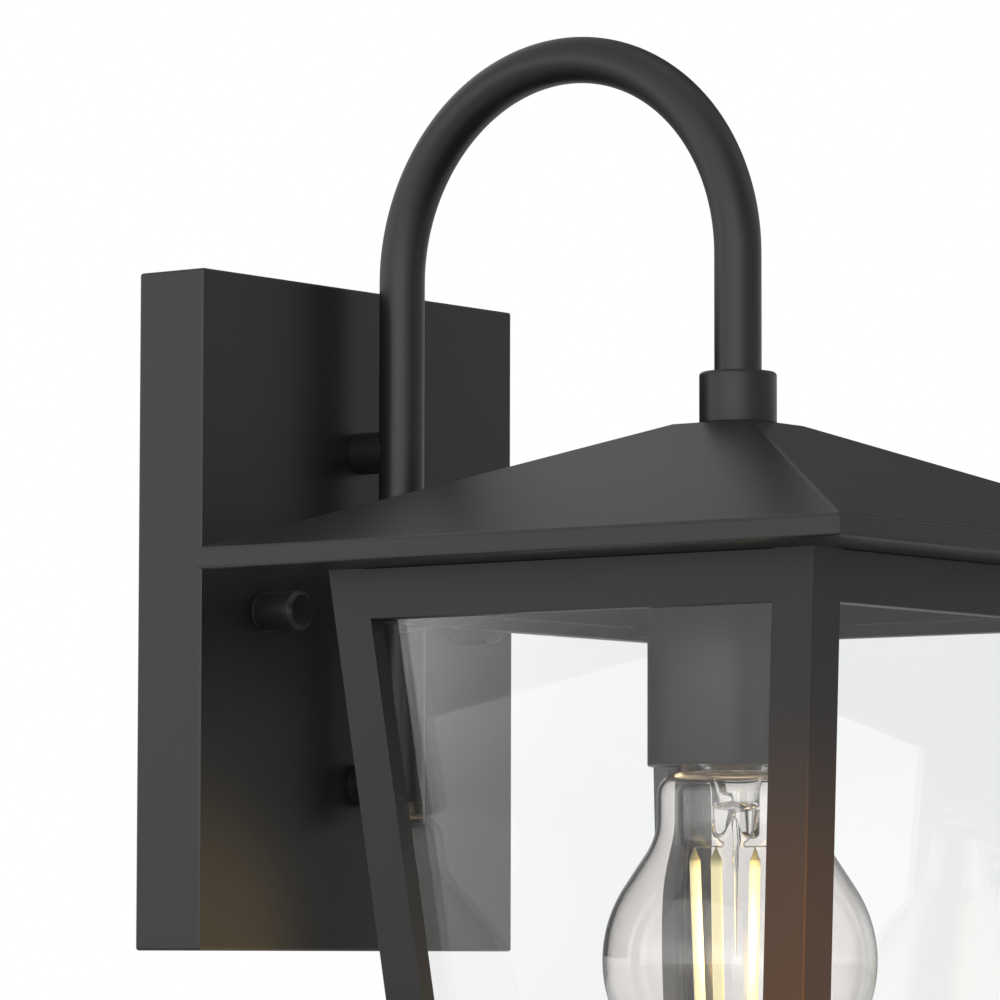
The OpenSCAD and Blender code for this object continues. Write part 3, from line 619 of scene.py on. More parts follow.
class Workshop:
    """Makes meshes and hands finished pieces to the frame."""

    def __init__(self, frame: dict[str, Any]) -> None:
        """Builds every slot's material and dresses the CAD nodes in them.

        Args:
            frame: the loaded frame.
        """
        self.frame = frame
        self.materials = {slot: FINISHES[slot].material(slot) for slot in Slot}
        for row in frame["record"]["subparts"]:
            self.dress(frame["nodes"][row["node"]], Slot(row["material_slot"]))

    def dress(self, thing: bpy.types.Object, slot: Slot) -> None:
        """Gives an object one slot's finish."""
        thing.data.materials.clear()
        thing.data.materials.append(self.materials[slot])

    def hand_over(
        self,
        name: str,
        mesh: Union[bmesh.types.BMesh, bpy.types.Mesh],
        body: Body,
        slot: Slot,
        stands_for: str = "",
        crease: float = CREASE,
    ) -> None:
        """Turns a mesh into a finished piece that rides on a body.

        Args:
            name: the piece's name.
            mesh: its shape, in place.
            body: the body it rides on.
            slot: the slot its finish comes from.
            stands_for: the CAD node that it replaces; empty for none.
            crease: the angle in degrees above which an edge stays sharp; 0 keeps the mesh's own normals.
        """
        data = as_mesh(mesh, name) if isinstance(mesh, bmesh.types.BMesh) else mesh
        data.name = name
        if crease:
            data.polygons.foreach_set("use_smooth", [True] * len(data.polygons))
            data.set_sharp_from_angle(angle=math.radians(crease))
        piece = set_down(name, data)
        self.dress(piece, slot)
        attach(piece, body.value)
        if stands_for:
            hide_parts(stands_for)
        LOG.info("%s: %d faces, rides on %s", name, len(data.polygons), body.value)

    def ease_over(self, node: str, word: str, slot: Slot, width: float, wanted: Test, steps: int) -> None:
        """Hands over a fixture node's own shape with its outer edges rounded.

        Args:
            node: the CAD node, which the piece replaces.
            word: what the piece's name ends in.
            slot: the slot its finish comes from.
            width: the rounding's width in metres.
            wanted: says whether a sharp edge is rounded.
            steps: segments across the rounding.
        """
        mesh = self.welded(node)
        eased = self.eased(mesh, width, wanted, steps)
        self.hand_over(f"{node}_{word}", eased, Body.FIXTURE, slot, node, crease=0)

    def welded(self, node: str) -> bmesh.types.BMesh:
        """Copies a CAD node's mesh, with its loose triangles joined and its flat faces whole.

        Args:
            node: the CAD node.

        Returns:
            The copy.
        """
        mesh = bmesh.new()
        mesh.from_mesh(self.frame["nodes"][node].data)
        bmesh.ops.remove_doubles(mesh, verts=mesh.verts, dist=WELD)
        bmesh.ops.dissolve_limit(mesh, angle_limit=math.radians(FLAT), verts=mesh.verts, edges=mesh.edges)
        return mesh

    def eased(self, mesh: bmesh.types.BMesh, width: float, wanted: Test, steps: int) -> bpy.types.Mesh:
        """Rounds a mesh's outer edges and marks the rounding, which the finishes paint lighter as wear and
        as a painted highlight.

        Args:
            mesh: the shape; it is used up.
            width: the rounding's width in metres.
            wanted: says whether a sharp edge is rounded.
            steps: segments across the rounding.

        Returns:
            The eased mesh, with flat faces that shade flat.
        """
        weight = mesh.edges.layers.float.new("bevel_weight_edge")
        for edge in mesh.edges:
            sharp = len(edge.link_faces) == 2 and edge.calc_face_angle() > math.radians(EDGE)
            edge[weight] = 1.0 if sharp and wanted(edge) else 0.0
        for face in mesh.faces:
            face.smooth = True
        data = as_mesh(mesh, "eased")
        for _ in ("face", "rounding"):
            data.materials.append(None)
        data.set_sharp_from_angle(angle=math.radians(CREASE))
        holder = set_down("eased", data)
        bevel = holder.modifiers.new("ease", "BEVEL")
        bevel.width, bevel.segments, bevel.limit_method = width, steps, "WEIGHT"
        bevel.offset_type, bevel.harden_normals, bevel.material = "OFFSET", True, 1
        bevel.use_clamp_overlap = True
        result = taken(holder)
        marks = result.attributes.new(EDGE_WEAR_AND_HIGHLIGHT, "FLOAT", "FACE")
        marks.data.foreach_set("value", [float(face.material_index) for face in result.polygons])
        result.polygons.foreach_set("material_index", [0] * len(result.polygons))
        return result


def as_mesh(mesh: bmesh.types.BMesh, name: str) -> bpy.types.Mesh:
    """Turns a mesh under construction into mesh data.

    Args:
        mesh: the shape; it is used up.
        name: the data's name.

    Returns:
        The mesh data.
    """
    data = bpy.data.meshes.new(name)
    mesh.to_mesh(data)
    mesh.free()
    return data


def set_down(name: str, data: Any) -> bpy.types.Object:
    """Puts data into the scene as an object.

    Args:
        name: the object's name.
        data: its mesh, curve, light or camera.

    Returns:
        The object.
    """
    thing = bpy.data.objects.new(name, data)
    bpy.context.scene.collection.objects.link(thing)
    return thing


def taken(holder: bpy.types.Object) -> bpy.types.Mesh:
    """Takes the finished mesh of an object with modifiers.

    Args:
        holder: the object, which is then removed.

    Returns:
        The plain mesh.
    """
    bpy.context.view_layer.update()
    graph = bpy.context.evaluated_depsgraph_get()
    result = bpy.data.meshes.new_from_object(
        holder.evaluated_get(graph), preserve_all_data_layers=True, depsgraph=graph
    )
    holder.modifiers.clear()
    bpy.data.objects.remove(holder, do_unlink=True)
    return result


def longer(length: float) -> Test:
    """A test for edges longer than a length."""
    return lambda edge: edge.calc_length() > length


def flat_way(degrees: float) -> Vector:
    """The level direction at an angle from +X."""
    turn = math.radians(degrees)
    return Vector((math.cos(turn), math.sin(turn), 0))


def up(height: float) -> Vector:
    """An upright vector."""
    return Vector((0, 0, height))


def arc(centre: Point, radius: float, start: float, end: float, steps: int) -> list[Point]:
    """Points of a circular arc in a lathe profile.

    Args:
        centre: the arc's centre, as radius and height.
        radius: the arc's radius.
        start: where it starts, in degrees from the outward direction.
        end: where it ends.
        steps: its segments.

    Returns:
        The points.
    """
    out, height = centre
    turns = [math.radians(start + (end - start) * i / steps) for i in range(steps + 1)]
    return [(out + radius * math.cos(turn), height + radius * math.sin(turn)) for turn in turns]


def rounded(corners: Sequence[tuple[float, float, float]], steps: int = 4) -> list[Point]:
    """Rounds the corners of an open profile.

    Args:
        corners: (radius, height, rounding) of each corner; the first and last stay as they are.
        steps: segments of each rounding.

    Returns:
        The profile's points.
    """
    points: list[Point] = [corners[0][:2]]
    for before, here, after in zip(corners, corners[1:], corners[2:]):
        place = Vector(here[:2])
        back = (Vector(before[:2]) - place).normalized()
        ahead = (Vector(after[:2]) - place).normalized()
        half = math.acos(max(-1.0, min(1.0, back.dot(ahead)))) / 2
        if here[2] <= 0 or half > math.radians(90 - FLAT):
            points.append(tuple(place))
            continue
        reach = here[2] / math.tan(half)
        middle = place + (back + ahead).normalized() * (here[2] / math.sin(half))
        first, last = place + back * reach - middle, place + ahead * reach - middle
        sweep = first.angle_signed(last)
        for i in range(steps + 1):
            points.append(tuple(middle + Matrix.Rotation(-sweep * i / steps, 2) @ first))
    points.append(corners[-1][:2])
    return points


def turned(
    profile: Sequence[Point], centre: Vector, steps: int = 96, loop: bool = False
) -> bmesh.types.BMesh:
    """Turns a profile about an upright axis.

    Args:
        profile: (radius, height) points in metres.
        centre: where the axis stands; heights are added to its own.
        steps: segments round the axis.
        loop: joins the last point to the first, for a ring or a hollow shell.

    Returns:
        A closed mesh with outward faces.
    """
    mesh = bmesh.new()
    turns = [2 * math.pi * k / steps for k in range(steps)]
    rings = []
    for radius, height in profile:
        if radius < ON_AXIS:
            places = [(0, 0, height)]
        else:
            places = [(radius * math.cos(turn), radius * math.sin(turn), height) for turn in turns]
        rings.append([mesh.verts.new(centre + Vector(place)) for place in places])
    pairs = list(zip(rings, rings[1:])) + ([(rings[-1], rings[0])] if loop else [])
    for low, high in pairs:
        for k in range(steps):
            nxt = (k + 1) % steps
            four = [low[k % len(low)], low[nxt % len(low)], high[nxt % len(high)], high[k % len(high)]]
            unique = list(dict.fromkeys(four))
            if len(unique) > 2:
                mesh.faces.new(unique)
    bmesh.ops.recalc_face_normals(mesh, faces=mesh.faces)
    return mesh


def laid_outward(mesh: bmesh.types.BMesh, place: Vector) -> bmesh.types.BMesh:
    """Lays an upright turned shape along -Y.

    Args:
        mesh: the shape, which is moved.
        place: the point before the wall that it stands on.

    Returns:
        The same shape.
    """
    bmesh.ops.transform(mesh, matrix=Matrix.Rotation(math.radians(90), 4, "X"), verts=mesh.verts)
    bmesh.ops.translate(mesh, vec=place, verts=mesh.verts)
    return mesh


# ---------------------------------------------------------------- swept and threaded shapes


class Growth(Tree):
    """A Geometry Nodes tree with named size inputs."""

    def __init__(self, name: str, sizes: dict[str, float]) -> None:
        """Starts the tree.

        Args:
            name: the tree's name.
            sizes: values of its inputs by name; a whole number makes an integer input.
        """
        super().__init__(bpy.data.node_groups.new(name, "GeometryNodeTree"))
        self.sizes = sizes
        self.socket("Geometry", "Geometry", "INPUT")
        for key, value in sizes.items():
            self.socket(key, "Int" if isinstance(value, int) else "Float", "INPUT")
        self.socket("Finish", "Material", "INPUT")
        self.socket("Geometry", "Geometry", "OUTPUT")
        self.inputs = self.node("NodeGroupInput")

    def socket(self, name: str, kind: str, side: str) -> None:
        """Adds an input or output of the tree."""
        self.tree.interface.new_socket(name, in_out=side, socket_type=f"NodeSocket{kind}")

    def given(self, name: str) -> Link:
        """One of the tree's inputs."""
        return self.out(self.inputs, name)

    def lifted(self, shape: Link, height: Link) -> Link:
        """Moves a shape up.

        Args:
            shape: the curve or mesh.
            height: how far it goes.

        Returns:
            The moved shape.
        """
        place = self.out(self.node("ShaderNodeCombineXYZ", None, {"Z": height}))
        values = {"Geometry": shape, "Translation": place}
        return self.out(self.node("GeometryNodeTransform", None, values))

    def swept(self, path: Link, radius: str) -> Link:
        """Sweeps a circle along curves and closes the ends.

        Args:
            path: the curves.
            radius: the name of the input that holds the circle's radius.

        Returns:
            The swept mesh.
        """
        round_values = {"Radius": self.given(radius), "Resolution": self.given("Sides")}
        ring = self.out(self.node("GeometryNodeCurvePrimitiveCircle", None, round_values), "Curve")
        values = {"Curve": path, "Profile Curve": ring, "Fill Caps": True}
        return self.out(self.node("GeometryNodeCurveToMesh", None, values), "Mesh")

    def run(self, data: Any, shape: Link, finish: bpy.types.Material) -> bpy.types.Mesh:
        """Ends the tree in Realize Instances and Set Material and runs it.

        Args:
            data: the curve or mesh it starts from.
            shape: what the tree has made.
            finish: the material.

        Returns:
            The plain mesh.
        """
        real = self.out(self.node("GeometryNodeRealizeInstances", None, {0: shape}))
        values = {"Geometry": real, "Material": self.given("Finish")}
        painted = self.out(self.node("GeometryNodeSetMaterial", None, values))
        self.node("NodeGroupOutput", None, {0: painted})
        holder = bpy.data.objects.new("grown", data)
        modifier = holder.modifiers.new("grow", "NODES")
        modifier.node_group = self.tree
        given = {**self.sizes, "Finish": finish}
        for item in self.tree.interface.items_tree:
            if item.in_out == "INPUT" and item.name in given:
                modifier[item.identifier] = given[item.name]
        bpy.context.scene.collection.objects.link(holder)
        return taken(holder)


def swept_rod(
    paths: Sequence[Sequence[Vector]], radius: float, sides: int, finish: bpy.types.Material
) -> bpy.types.Mesh:
    """Sweeps a circle along paths, with closed ends.

    Args:
        paths: each path's points.
        radius: the circle's radius in metres.
        sides: the circle's segments.
        finish: the material.

    Returns:
        The swept mesh.
    """
    curve = bpy.data.curves.new("paths", "CURVE")
    curve.dimensions = "3D"
    for path in paths:
        spline = curve.splines.new("POLY")
        spline.points.add(len(path) - 1)
        for point, place in zip(spline.points, path):
            point.co = (*place, 1.0)
    tree = Growth("swept_rod", {"Radius": radius, "Sides": sides})
    return tree.run(curve, tree.swept(tree.given("Geometry"), "Radius"), finish)


@dataclass
class Thread:
    """An upright threaded rod that stands on z = 0: a core with a helical crest.

    The crest starts and ends a share of the pitch before the rod's ends.
    """

    radius: float
    length: float
    pitch: float
    crest: float
    sides: int
    inset: float = 0.6
    turn_steps: int = 40
    core_sides: int = 48

    def mesh(self, finish: bpy.types.Material) -> bmesh.types.BMesh:
        """Grows the rod.

        Args:
            finish: the material.

        Returns:
            The threaded mesh.
        """
        climb = self.length - 2 * self.inset * self.pitch
        sizes = {
            "Radius": self.radius - self.crest,
            "Turns": self.length / self.pitch - 2 * self.inset,
            "Length": self.length,
            "Climb": climb,
            "Start": self.inset * self.pitch,
            "Crest": self.crest,
            "Sides": self.sides,
        }
        tree = Growth("threaded_rod", sizes)
        spiral_values = {
            "Resolution": self.turn_steps,
            "Rotations": tree.given("Turns"),
            "Start Radius": tree.given("Radius"),
            "End Radius": tree.given("Radius"),
            "Height": tree.given("Climb"),
        }
        spiral = tree.out(tree.node("GeometryNodeCurveSpiral", None, spiral_values))
        helix = tree.swept(tree.lifted(spiral, tree.given("Start")), "Crest")
        core_values = {
            "Vertices": self.core_sides,
            "Radius": tree.given("Radius"),
            "Depth": tree.given("Length"),
        }
        core = tree.out(tree.node("GeometryNodeMeshCylinder", None, core_values), "Mesh")
        stood = tree.lifted(core, tree.given("Length") * 0.5)
        joined = tree.out(tree.node("GeometryNodeJoinGeometry", None, {0: [helix, stood]}))
        rod = bmesh.new()
        rod.from_mesh(tree.run(bpy.data.meshes.new("start"), joined, finish))
        return rod


# ---------------------------------------------------------------- sub-assemblies


@dataclass
class Assembly:
    """A sub-assembly, whose pieces one workshop makes."""

    shop: Workshop


@dataclass
class Backplate(Assembly):
    """The deep pan, and the two cap nuts on its front."""

    edge: float = 0.7 * MM
    long_edge: float = 4 * MM
    nut_chamfer: float = 0.9 * MM
    nut_easing: float = 0.18 * MM
    nut_foot: float = 0.25 * MM
    nut_end: float = 1.4 * MM
    bore_gap: float = 0.05 * MM
    bore_rim: float = 0.1 * MM
    drill_tip: float = 0.4

    def build(self) -> None:
        """Makes the pan with eased edges and the turned nuts."""
        long = longer(self.long_edge)
        self.shop.ease_over("backplate", "pan", Slot.BLACK_PAINT, self.edge, long, steps=4)
        for side, body in (("left", Body.LEFT_NUT), ("right", Body.RIGHT_NUT)):
            self.cap_nut(f"cap_nut_{side}", body)

    def cap_nut(self, node: str, body: Body) -> None:
        """Turns one blind nut with its drilled bore and chamfered front.

        Args:
            node: the nut's CAD node.
            body: the body that it rides on.
        """
        low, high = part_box(node)
        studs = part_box("mounting_studs")
        bore = (studs[1].z - studs[0].z) / 2 + self.bore_gap
        radius, length = (high.x - low.x) / 2, high.y - low.y
        depth = length - self.nut_end
        profile = rounded(
            [
                (0, depth + bore * self.drill_tip, 0),
                (bore, depth, 0),
                (bore, 0, self.bore_rim),
                (radius, 0, self.nut_foot),
                (radius, length - self.nut_chamfer, self.nut_easing),
                (radius - self.nut_chamfer, length, self.nut_easing),
                (0, length, 0),
            ]
        )
        place = Vector(((low.x + high.x) / 2, high.y, (low.z + high.z) / 2))
        nut = laid_outward(turned(profile, Vector()), place)
        self.shop.hand_over(f"{node}_turned", nut, body, Slot.BLACK_PAINT, node, crease=50)


@dataclass
class Mounting(Assembly):
    """What the pan hides: strap, studs, nuts and ground screw."""

    edge: float = 0.3 * MM
    long_edge: float = 1.5 * MM
    stud_pitch: float = 0.794 * MM
    stud_crest: float = 0.16 * MM
    crest_sides: int = 6

    def build(self) -> None:
        """Eases the strap, the nuts and the screw, and threads the studs."""
        for node in ("mounting_strap", "stud_nuts", "standoff_nuts", "ground_screw"):
            slot = Slot.GREEN_SCREW if node == "ground_screw" else Slot.ZINC_STEEL
            self.shop.ease_over(node, "eased", slot, self.edge, longer(self.long_edge), steps=2)
        self.studs()

    def studs(self) -> None:
        """Threads the two studs from end to end."""
        low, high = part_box("mounting_studs")
        radius = (high.z - low.z) / 2
        thread = Thread(radius, high.y - low.y, self.stud_pitch, self.stud_crest, self.crest_sides)
        both = bmesh.new()
        for side in (low.x + radius, high.x - radius):
            rod = thread.mesh(self.shop.materials[Slot.ZINC_STEEL])
            laid_outward(rod, Vector((side, high.y, (low.z + high.z) / 2)))
            both.from_mesh(as_mesh(rod, "stud"))
        name = "mounting_studs"
        self.shop.hand_over(f"{name}_threaded", both, Body.FIXTURE, Slot.ZINC_STEEL, name, crease=40)


@dataclass
class Gooseneck(Assembly):
    """The bent tube, the plug in its lower end and the collar on the roof."""

    sides: int = 64
    bend_steps: int = 96
    leg_steps: int = 6
    wall: float = 1.2 * MM
    front_sink: float = 6 * MM
    collar_bore: float = 5.0 * MM
    collar_edge: float = 0.8 * MM
    lip: float = 0.3 * MM
    lip_round: float = 0.25 * MM
    lip_depth: float = 1.2 * MM
    foot_groove: float = 0.35 * MM
    groove_round: float = 0.15 * MM
    plug_rim: float = 1.5 * MM
    plug_edge: float = 0.6 * MM
    plug_step: float = 0.1 * MM
    plug_gap: float = 0.05 * MM
    plug_top: float = 0.2 * MM

    def build(self) -> None:
        """Sweeps the tube and turns the collar and the plug."""
        low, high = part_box("gooseneck_tube")
        radius = (high.x - low.x) / 2
        back_y, front_y = high.y - radius, low.y + radius
        bend = (back_y - front_y) / 2
        spring = high.z - radius - bend
        front_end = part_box("collar")[1].z - self.front_sink
        middle = Vector((0, (front_y + back_y) / 2, spring))
        legs = range(self.leg_steps)
        path = [Vector((0, back_y, low.z + (spring - low.z) * i / self.leg_steps)) for i in legs]
        for i in range(self.bend_steps + 1):
            turn = math.pi * i / self.bend_steps
            path.append(middle + Vector((0, bend * math.cos(turn), bend * math.sin(turn))))
        for i in legs:
            path.append(Vector((0, front_y, spring + (front_end - spring) * (i + 1) / self.leg_steps)))
        tube = swept_rod([path], radius, self.sides, self.shop.materials[Slot.BLACK_PAINT])
        name = "gooseneck_tube"
        self.shop.hand_over(f"{name}_bent", tube, Body.FIXTURE, Slot.BLACK_PAINT, name, crease=50)
        self.collar()
        self.plug(Vector((0, back_y, 0)), radius)

    def collar(self) -> None:
        """Turns the collar with a rounded shoulder and a shadow groove at its foot."""
        low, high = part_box("collar")
        radius = (high.x - low.x) / 2
        bore, groove = self.collar_bore, self.foot_groove
        profile = rounded(
            [
                (bore, low.z, 0),
                (radius - groove, low.z, 0),
                (radius - groove, low.z + groove, 0),
                (radius, low.z + groove, self.groove_round),
                (radius, high.z, self.collar_edge),
                (bore + self.lip, high.z, self.lip_round),
                (bore, high.z - self.lip_depth, 0),
                (bore, low.z, 0),
            ],
            steps=6,
        )[:-1]
        collar = turned(profile, Vector((0, (low.y + high.y) / 2, 0)), steps=128, loop=True)
        self.shop.hand_over("collar_turned", collar, Body.FIXTURE, Slot.BLACK_PAINT, "collar", crease=40)

    def plug(self, axis: Vector, radius: float) -> None:
        """Turns the domed plug in the tube's lower end.

        Args:
            axis: where the tube's back leg stands.
            radius: the tube's radius.
        """
        low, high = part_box("tube_plug")
        inner, rim = radius - self.wall - self.plug_gap, low.z + self.plug_rim
        profile = rounded(
            [
                (0, low.z, 0),
                (radius, low.z, self.plug_edge),
                (radius, rim, self.plug_step),
                (inner, rim, 0),
                (inner, high.z, self.plug_top),
                (0, high.z, 0),
            ]
        )
        plug = turned(profile, axis, steps=64)
        self.shop.hand_over("tube_plug_turned", plug, Body.FIXTURE, Slot.BLACK_PAINT, "tube_plug")


@dataclass
class Roof(Assembly):
    """The hipped sheet roof with its fascia, and the ceiling plate."""

    edge: float = 0.55 * MM
    ceiling_edge: float = 0.2 * MM
    long_edge: float = 6 * MM

    def build(self) -> None:
        """Eases the sheets' edges."""
        for node, width in (("roof", self.edge), ("ceiling_plate", self.ceiling_edge)):
            self.shop.ease_over(node, "sheet", Slot.BLACK_PAINT, width, longer(self.long_edge), steps=3)


@dataclass
class Cage(Assembly):
    """Four corner posts, eight rails and four panes."""

    post_edge: float = 0.35 * MM
    rail_edge: float = 0.25 * MM
    pane_edge: float = 0.25 * MM
    long_edge: float = 50 * MM
    corner_slack: float = 1 * MM
    corners: tuple[str, ...] = ("front_left", "front_right", "back_right", "back_left")
    sides: tuple[str, ...] = ("front", "right", "back", "left")

    def build(self) -> None:
        """Eases the posts' outer edges, the rails' long edges and the panes' rims."""
        centre = (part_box("post_front_left")[0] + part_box("post_back_right")[1]) / 2
        for corner in self.corners:
            node = f"post_{corner}"
            outer = self.outer_edge(node, centre)
            self.shop.ease_over(node, "angle", Slot.BLACK_PAINT, self.post_edge, outer, steps=3)
        long = longer(self.long_edge)
        for side in self.sides:
            for level in ("top", "bottom"):
                rail = f"{level}_rail_{side}"
                self.shop.ease_over(rail, "bar", Slot.BLACK_PAINT, self.rail_edge, long, steps=2)
            self.shop.ease_over(f"glass_{side}", "pane", Slot.PANE_GLASS, self.pane_edge, long, steps=1)

    def outer_edge(self, node: str, centre: Vector) -> Test:
        """Makes the test for the upright edge of a post at the cage's corner.

        Args:
            node: the post's node.
            centre: the cage's centre.

        Returns:
            The test.
        """
        low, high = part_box(node)
        reach = max(abs(low.x - centre.x), abs(high.x - centre.x)) - self.corner_slack

        def outer(edge: bmesh.types.BMEdge) -> bool:
            """True for the upright edge whose top is at the corner."""
            top = max(edge.verts, key=lambda v: v.co.z).co - centre
            return edge.calc_length() > self.long_edge and min(abs(top.x), abs(top.y)) > reach

        return outer


@dataclass
class Socket(Assembly):
    """The drawn cup round the socket."""

    wall: float = 1.0 * MM
    rim: float = 0.45 * MM
    shoulder: float = 0.2 * MM
    inner_shoulder: float = 0.8 * MM
    neck_gap: float = 0.3 * MM

    def build(self) -> None:
        """Turns the cup with its rounded shoulder and rim."""
        low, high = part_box("socket_cup")
        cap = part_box("socket_cap")
        neck = (cap[1].x - cap[0].x) / 2 + self.neck_gap
        radius = (high.x - low.x) / 2
        inner, under = radius - self.wall, high.z - self.wall
        profile = rounded(
            [
                (neck, high.z, 0),
                (radius, high.z, self.shoulder),
                (radius, low.z, self.rim),
                (inner, low.z, self.rim),
                (inner, under, self.inner_shoulder),
                (neck, under, 0),
                (neck, high.z, 0),
            ]
        )[:-1]
        cup = turned(profile, Vector((0, (low.y + high.y) / 2, 0)), steps=128, loop=True)
        self.shop.hand_over("socket_cup_drawn", cup, Body.FIXTURE, Slot.BLACK_PAINT, "socket_cup", crease=40)


@dataclass
class LampPart(Assembly):
    """A part of the lamp, with the axis and the heights that all of them share."""

    def __post_init__(self) -> None:
        """Reads the lamp's axis, tip, globe, base rim and stem end from the CAD."""
        low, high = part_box("bulb_glass")
        self.axis = Vector(((low.x + high.x) / 2, (low.y + high.y) / 2, 0))
        self.tip, self.globe_radius = low.z, (high.x - low.x) / 2
        self.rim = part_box("bulb_base")[0].z
        self.stem_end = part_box("bulb_stem")[0].z


@dataclass
class Bulb(LampPart):
    """The blown bulb and the rolled shell of its base."""

    wall: float = 0.8 * MM
    tip_angle: float = -88
    neck_radius: float = 17.2 * MM
    shoulder_lean: float = 33.2
    neck_blend: float = 14 * MM
    neck_round: float = 5 * MM
    neck_drop: float = 4.3 * MM
    neck_turn: float = 82
    seat_drop: float = 0.6 * MM
    seat_height: float = 2 * MM
    seat_radius: float = 12.3 * MM
    thread_pitch: float = 3.629 * MM
    thread_crest: float = 0.9 * MM
    crest_sides: int = 12

    def blow(self) -> None:
        """Turns the bulb as one closed wall."""
        profile = self.wall_line(0) + self.wall_line(self.wall)[::-1]
        glass = turned(profile, self.axis, steps=144)
        self.shop.hand_over("bulb_blown", glass, Body.LAMP, Slot.BULB_GLASS, "bulb_glass", crease=60)

    def wall_line(self, inset: float) -> list[Point]:
        """The bulb's profile from its tip up into the base.

        Args:
            inset: how far it is drawn in from the outside.

        Returns:
            The profile's points.
        """
        globe = self.tip + self.globe_radius
        line = [(0.0, self.tip + inset)]
        line += arc((0, globe), self.globe_radius - inset, self.tip_angle, self.shoulder_lean, steps=60)
        neck = self.neck_radius - inset
        neck_z = line[-1][1] + (line[-1][0] - neck) / math.tan(math.radians(self.shoulder_lean))
        round_z = self.rim - self.neck_drop - self.neck_round
        bend = [(*line[-1], 0), (neck, neck_z, self.neck_blend + inset), (neck, round_z, 0)]
        line += rounded(bend, steps=14)[1:-1]
        turn_in = (self.neck_radius - self.neck_round, round_z)
        line += arc(turn_in, self.neck_round - inset, 0, self.neck_turn, steps=12)
        seat = self.seat_radius - inset
        heights = (self.rim - self.seat_drop, self.rim, self.rim + self.seat_height)
        return line + [(seat, height) for height in heights]

    def roll_base(self) -> None:
        """Rolls the base's threaded shell."""
        low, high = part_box("bulb_base")
        radius, length = (high.x - low.x) / 2, high.z - low.z
        thread = Thread(radius, length, self.thread_pitch, self.thread_crest, self.crest_sides)
        shell = thread.mesh(self.shop.materials[Slot.NICKEL])
        bmesh.ops.translate(shell, vec=self.axis + up(low.z), verts=shell.verts)
        self.shop.hand_over("bulb_base_rolled", shell, Body.LAMP, Slot.NICKEL, "bulb_base", crease=50)


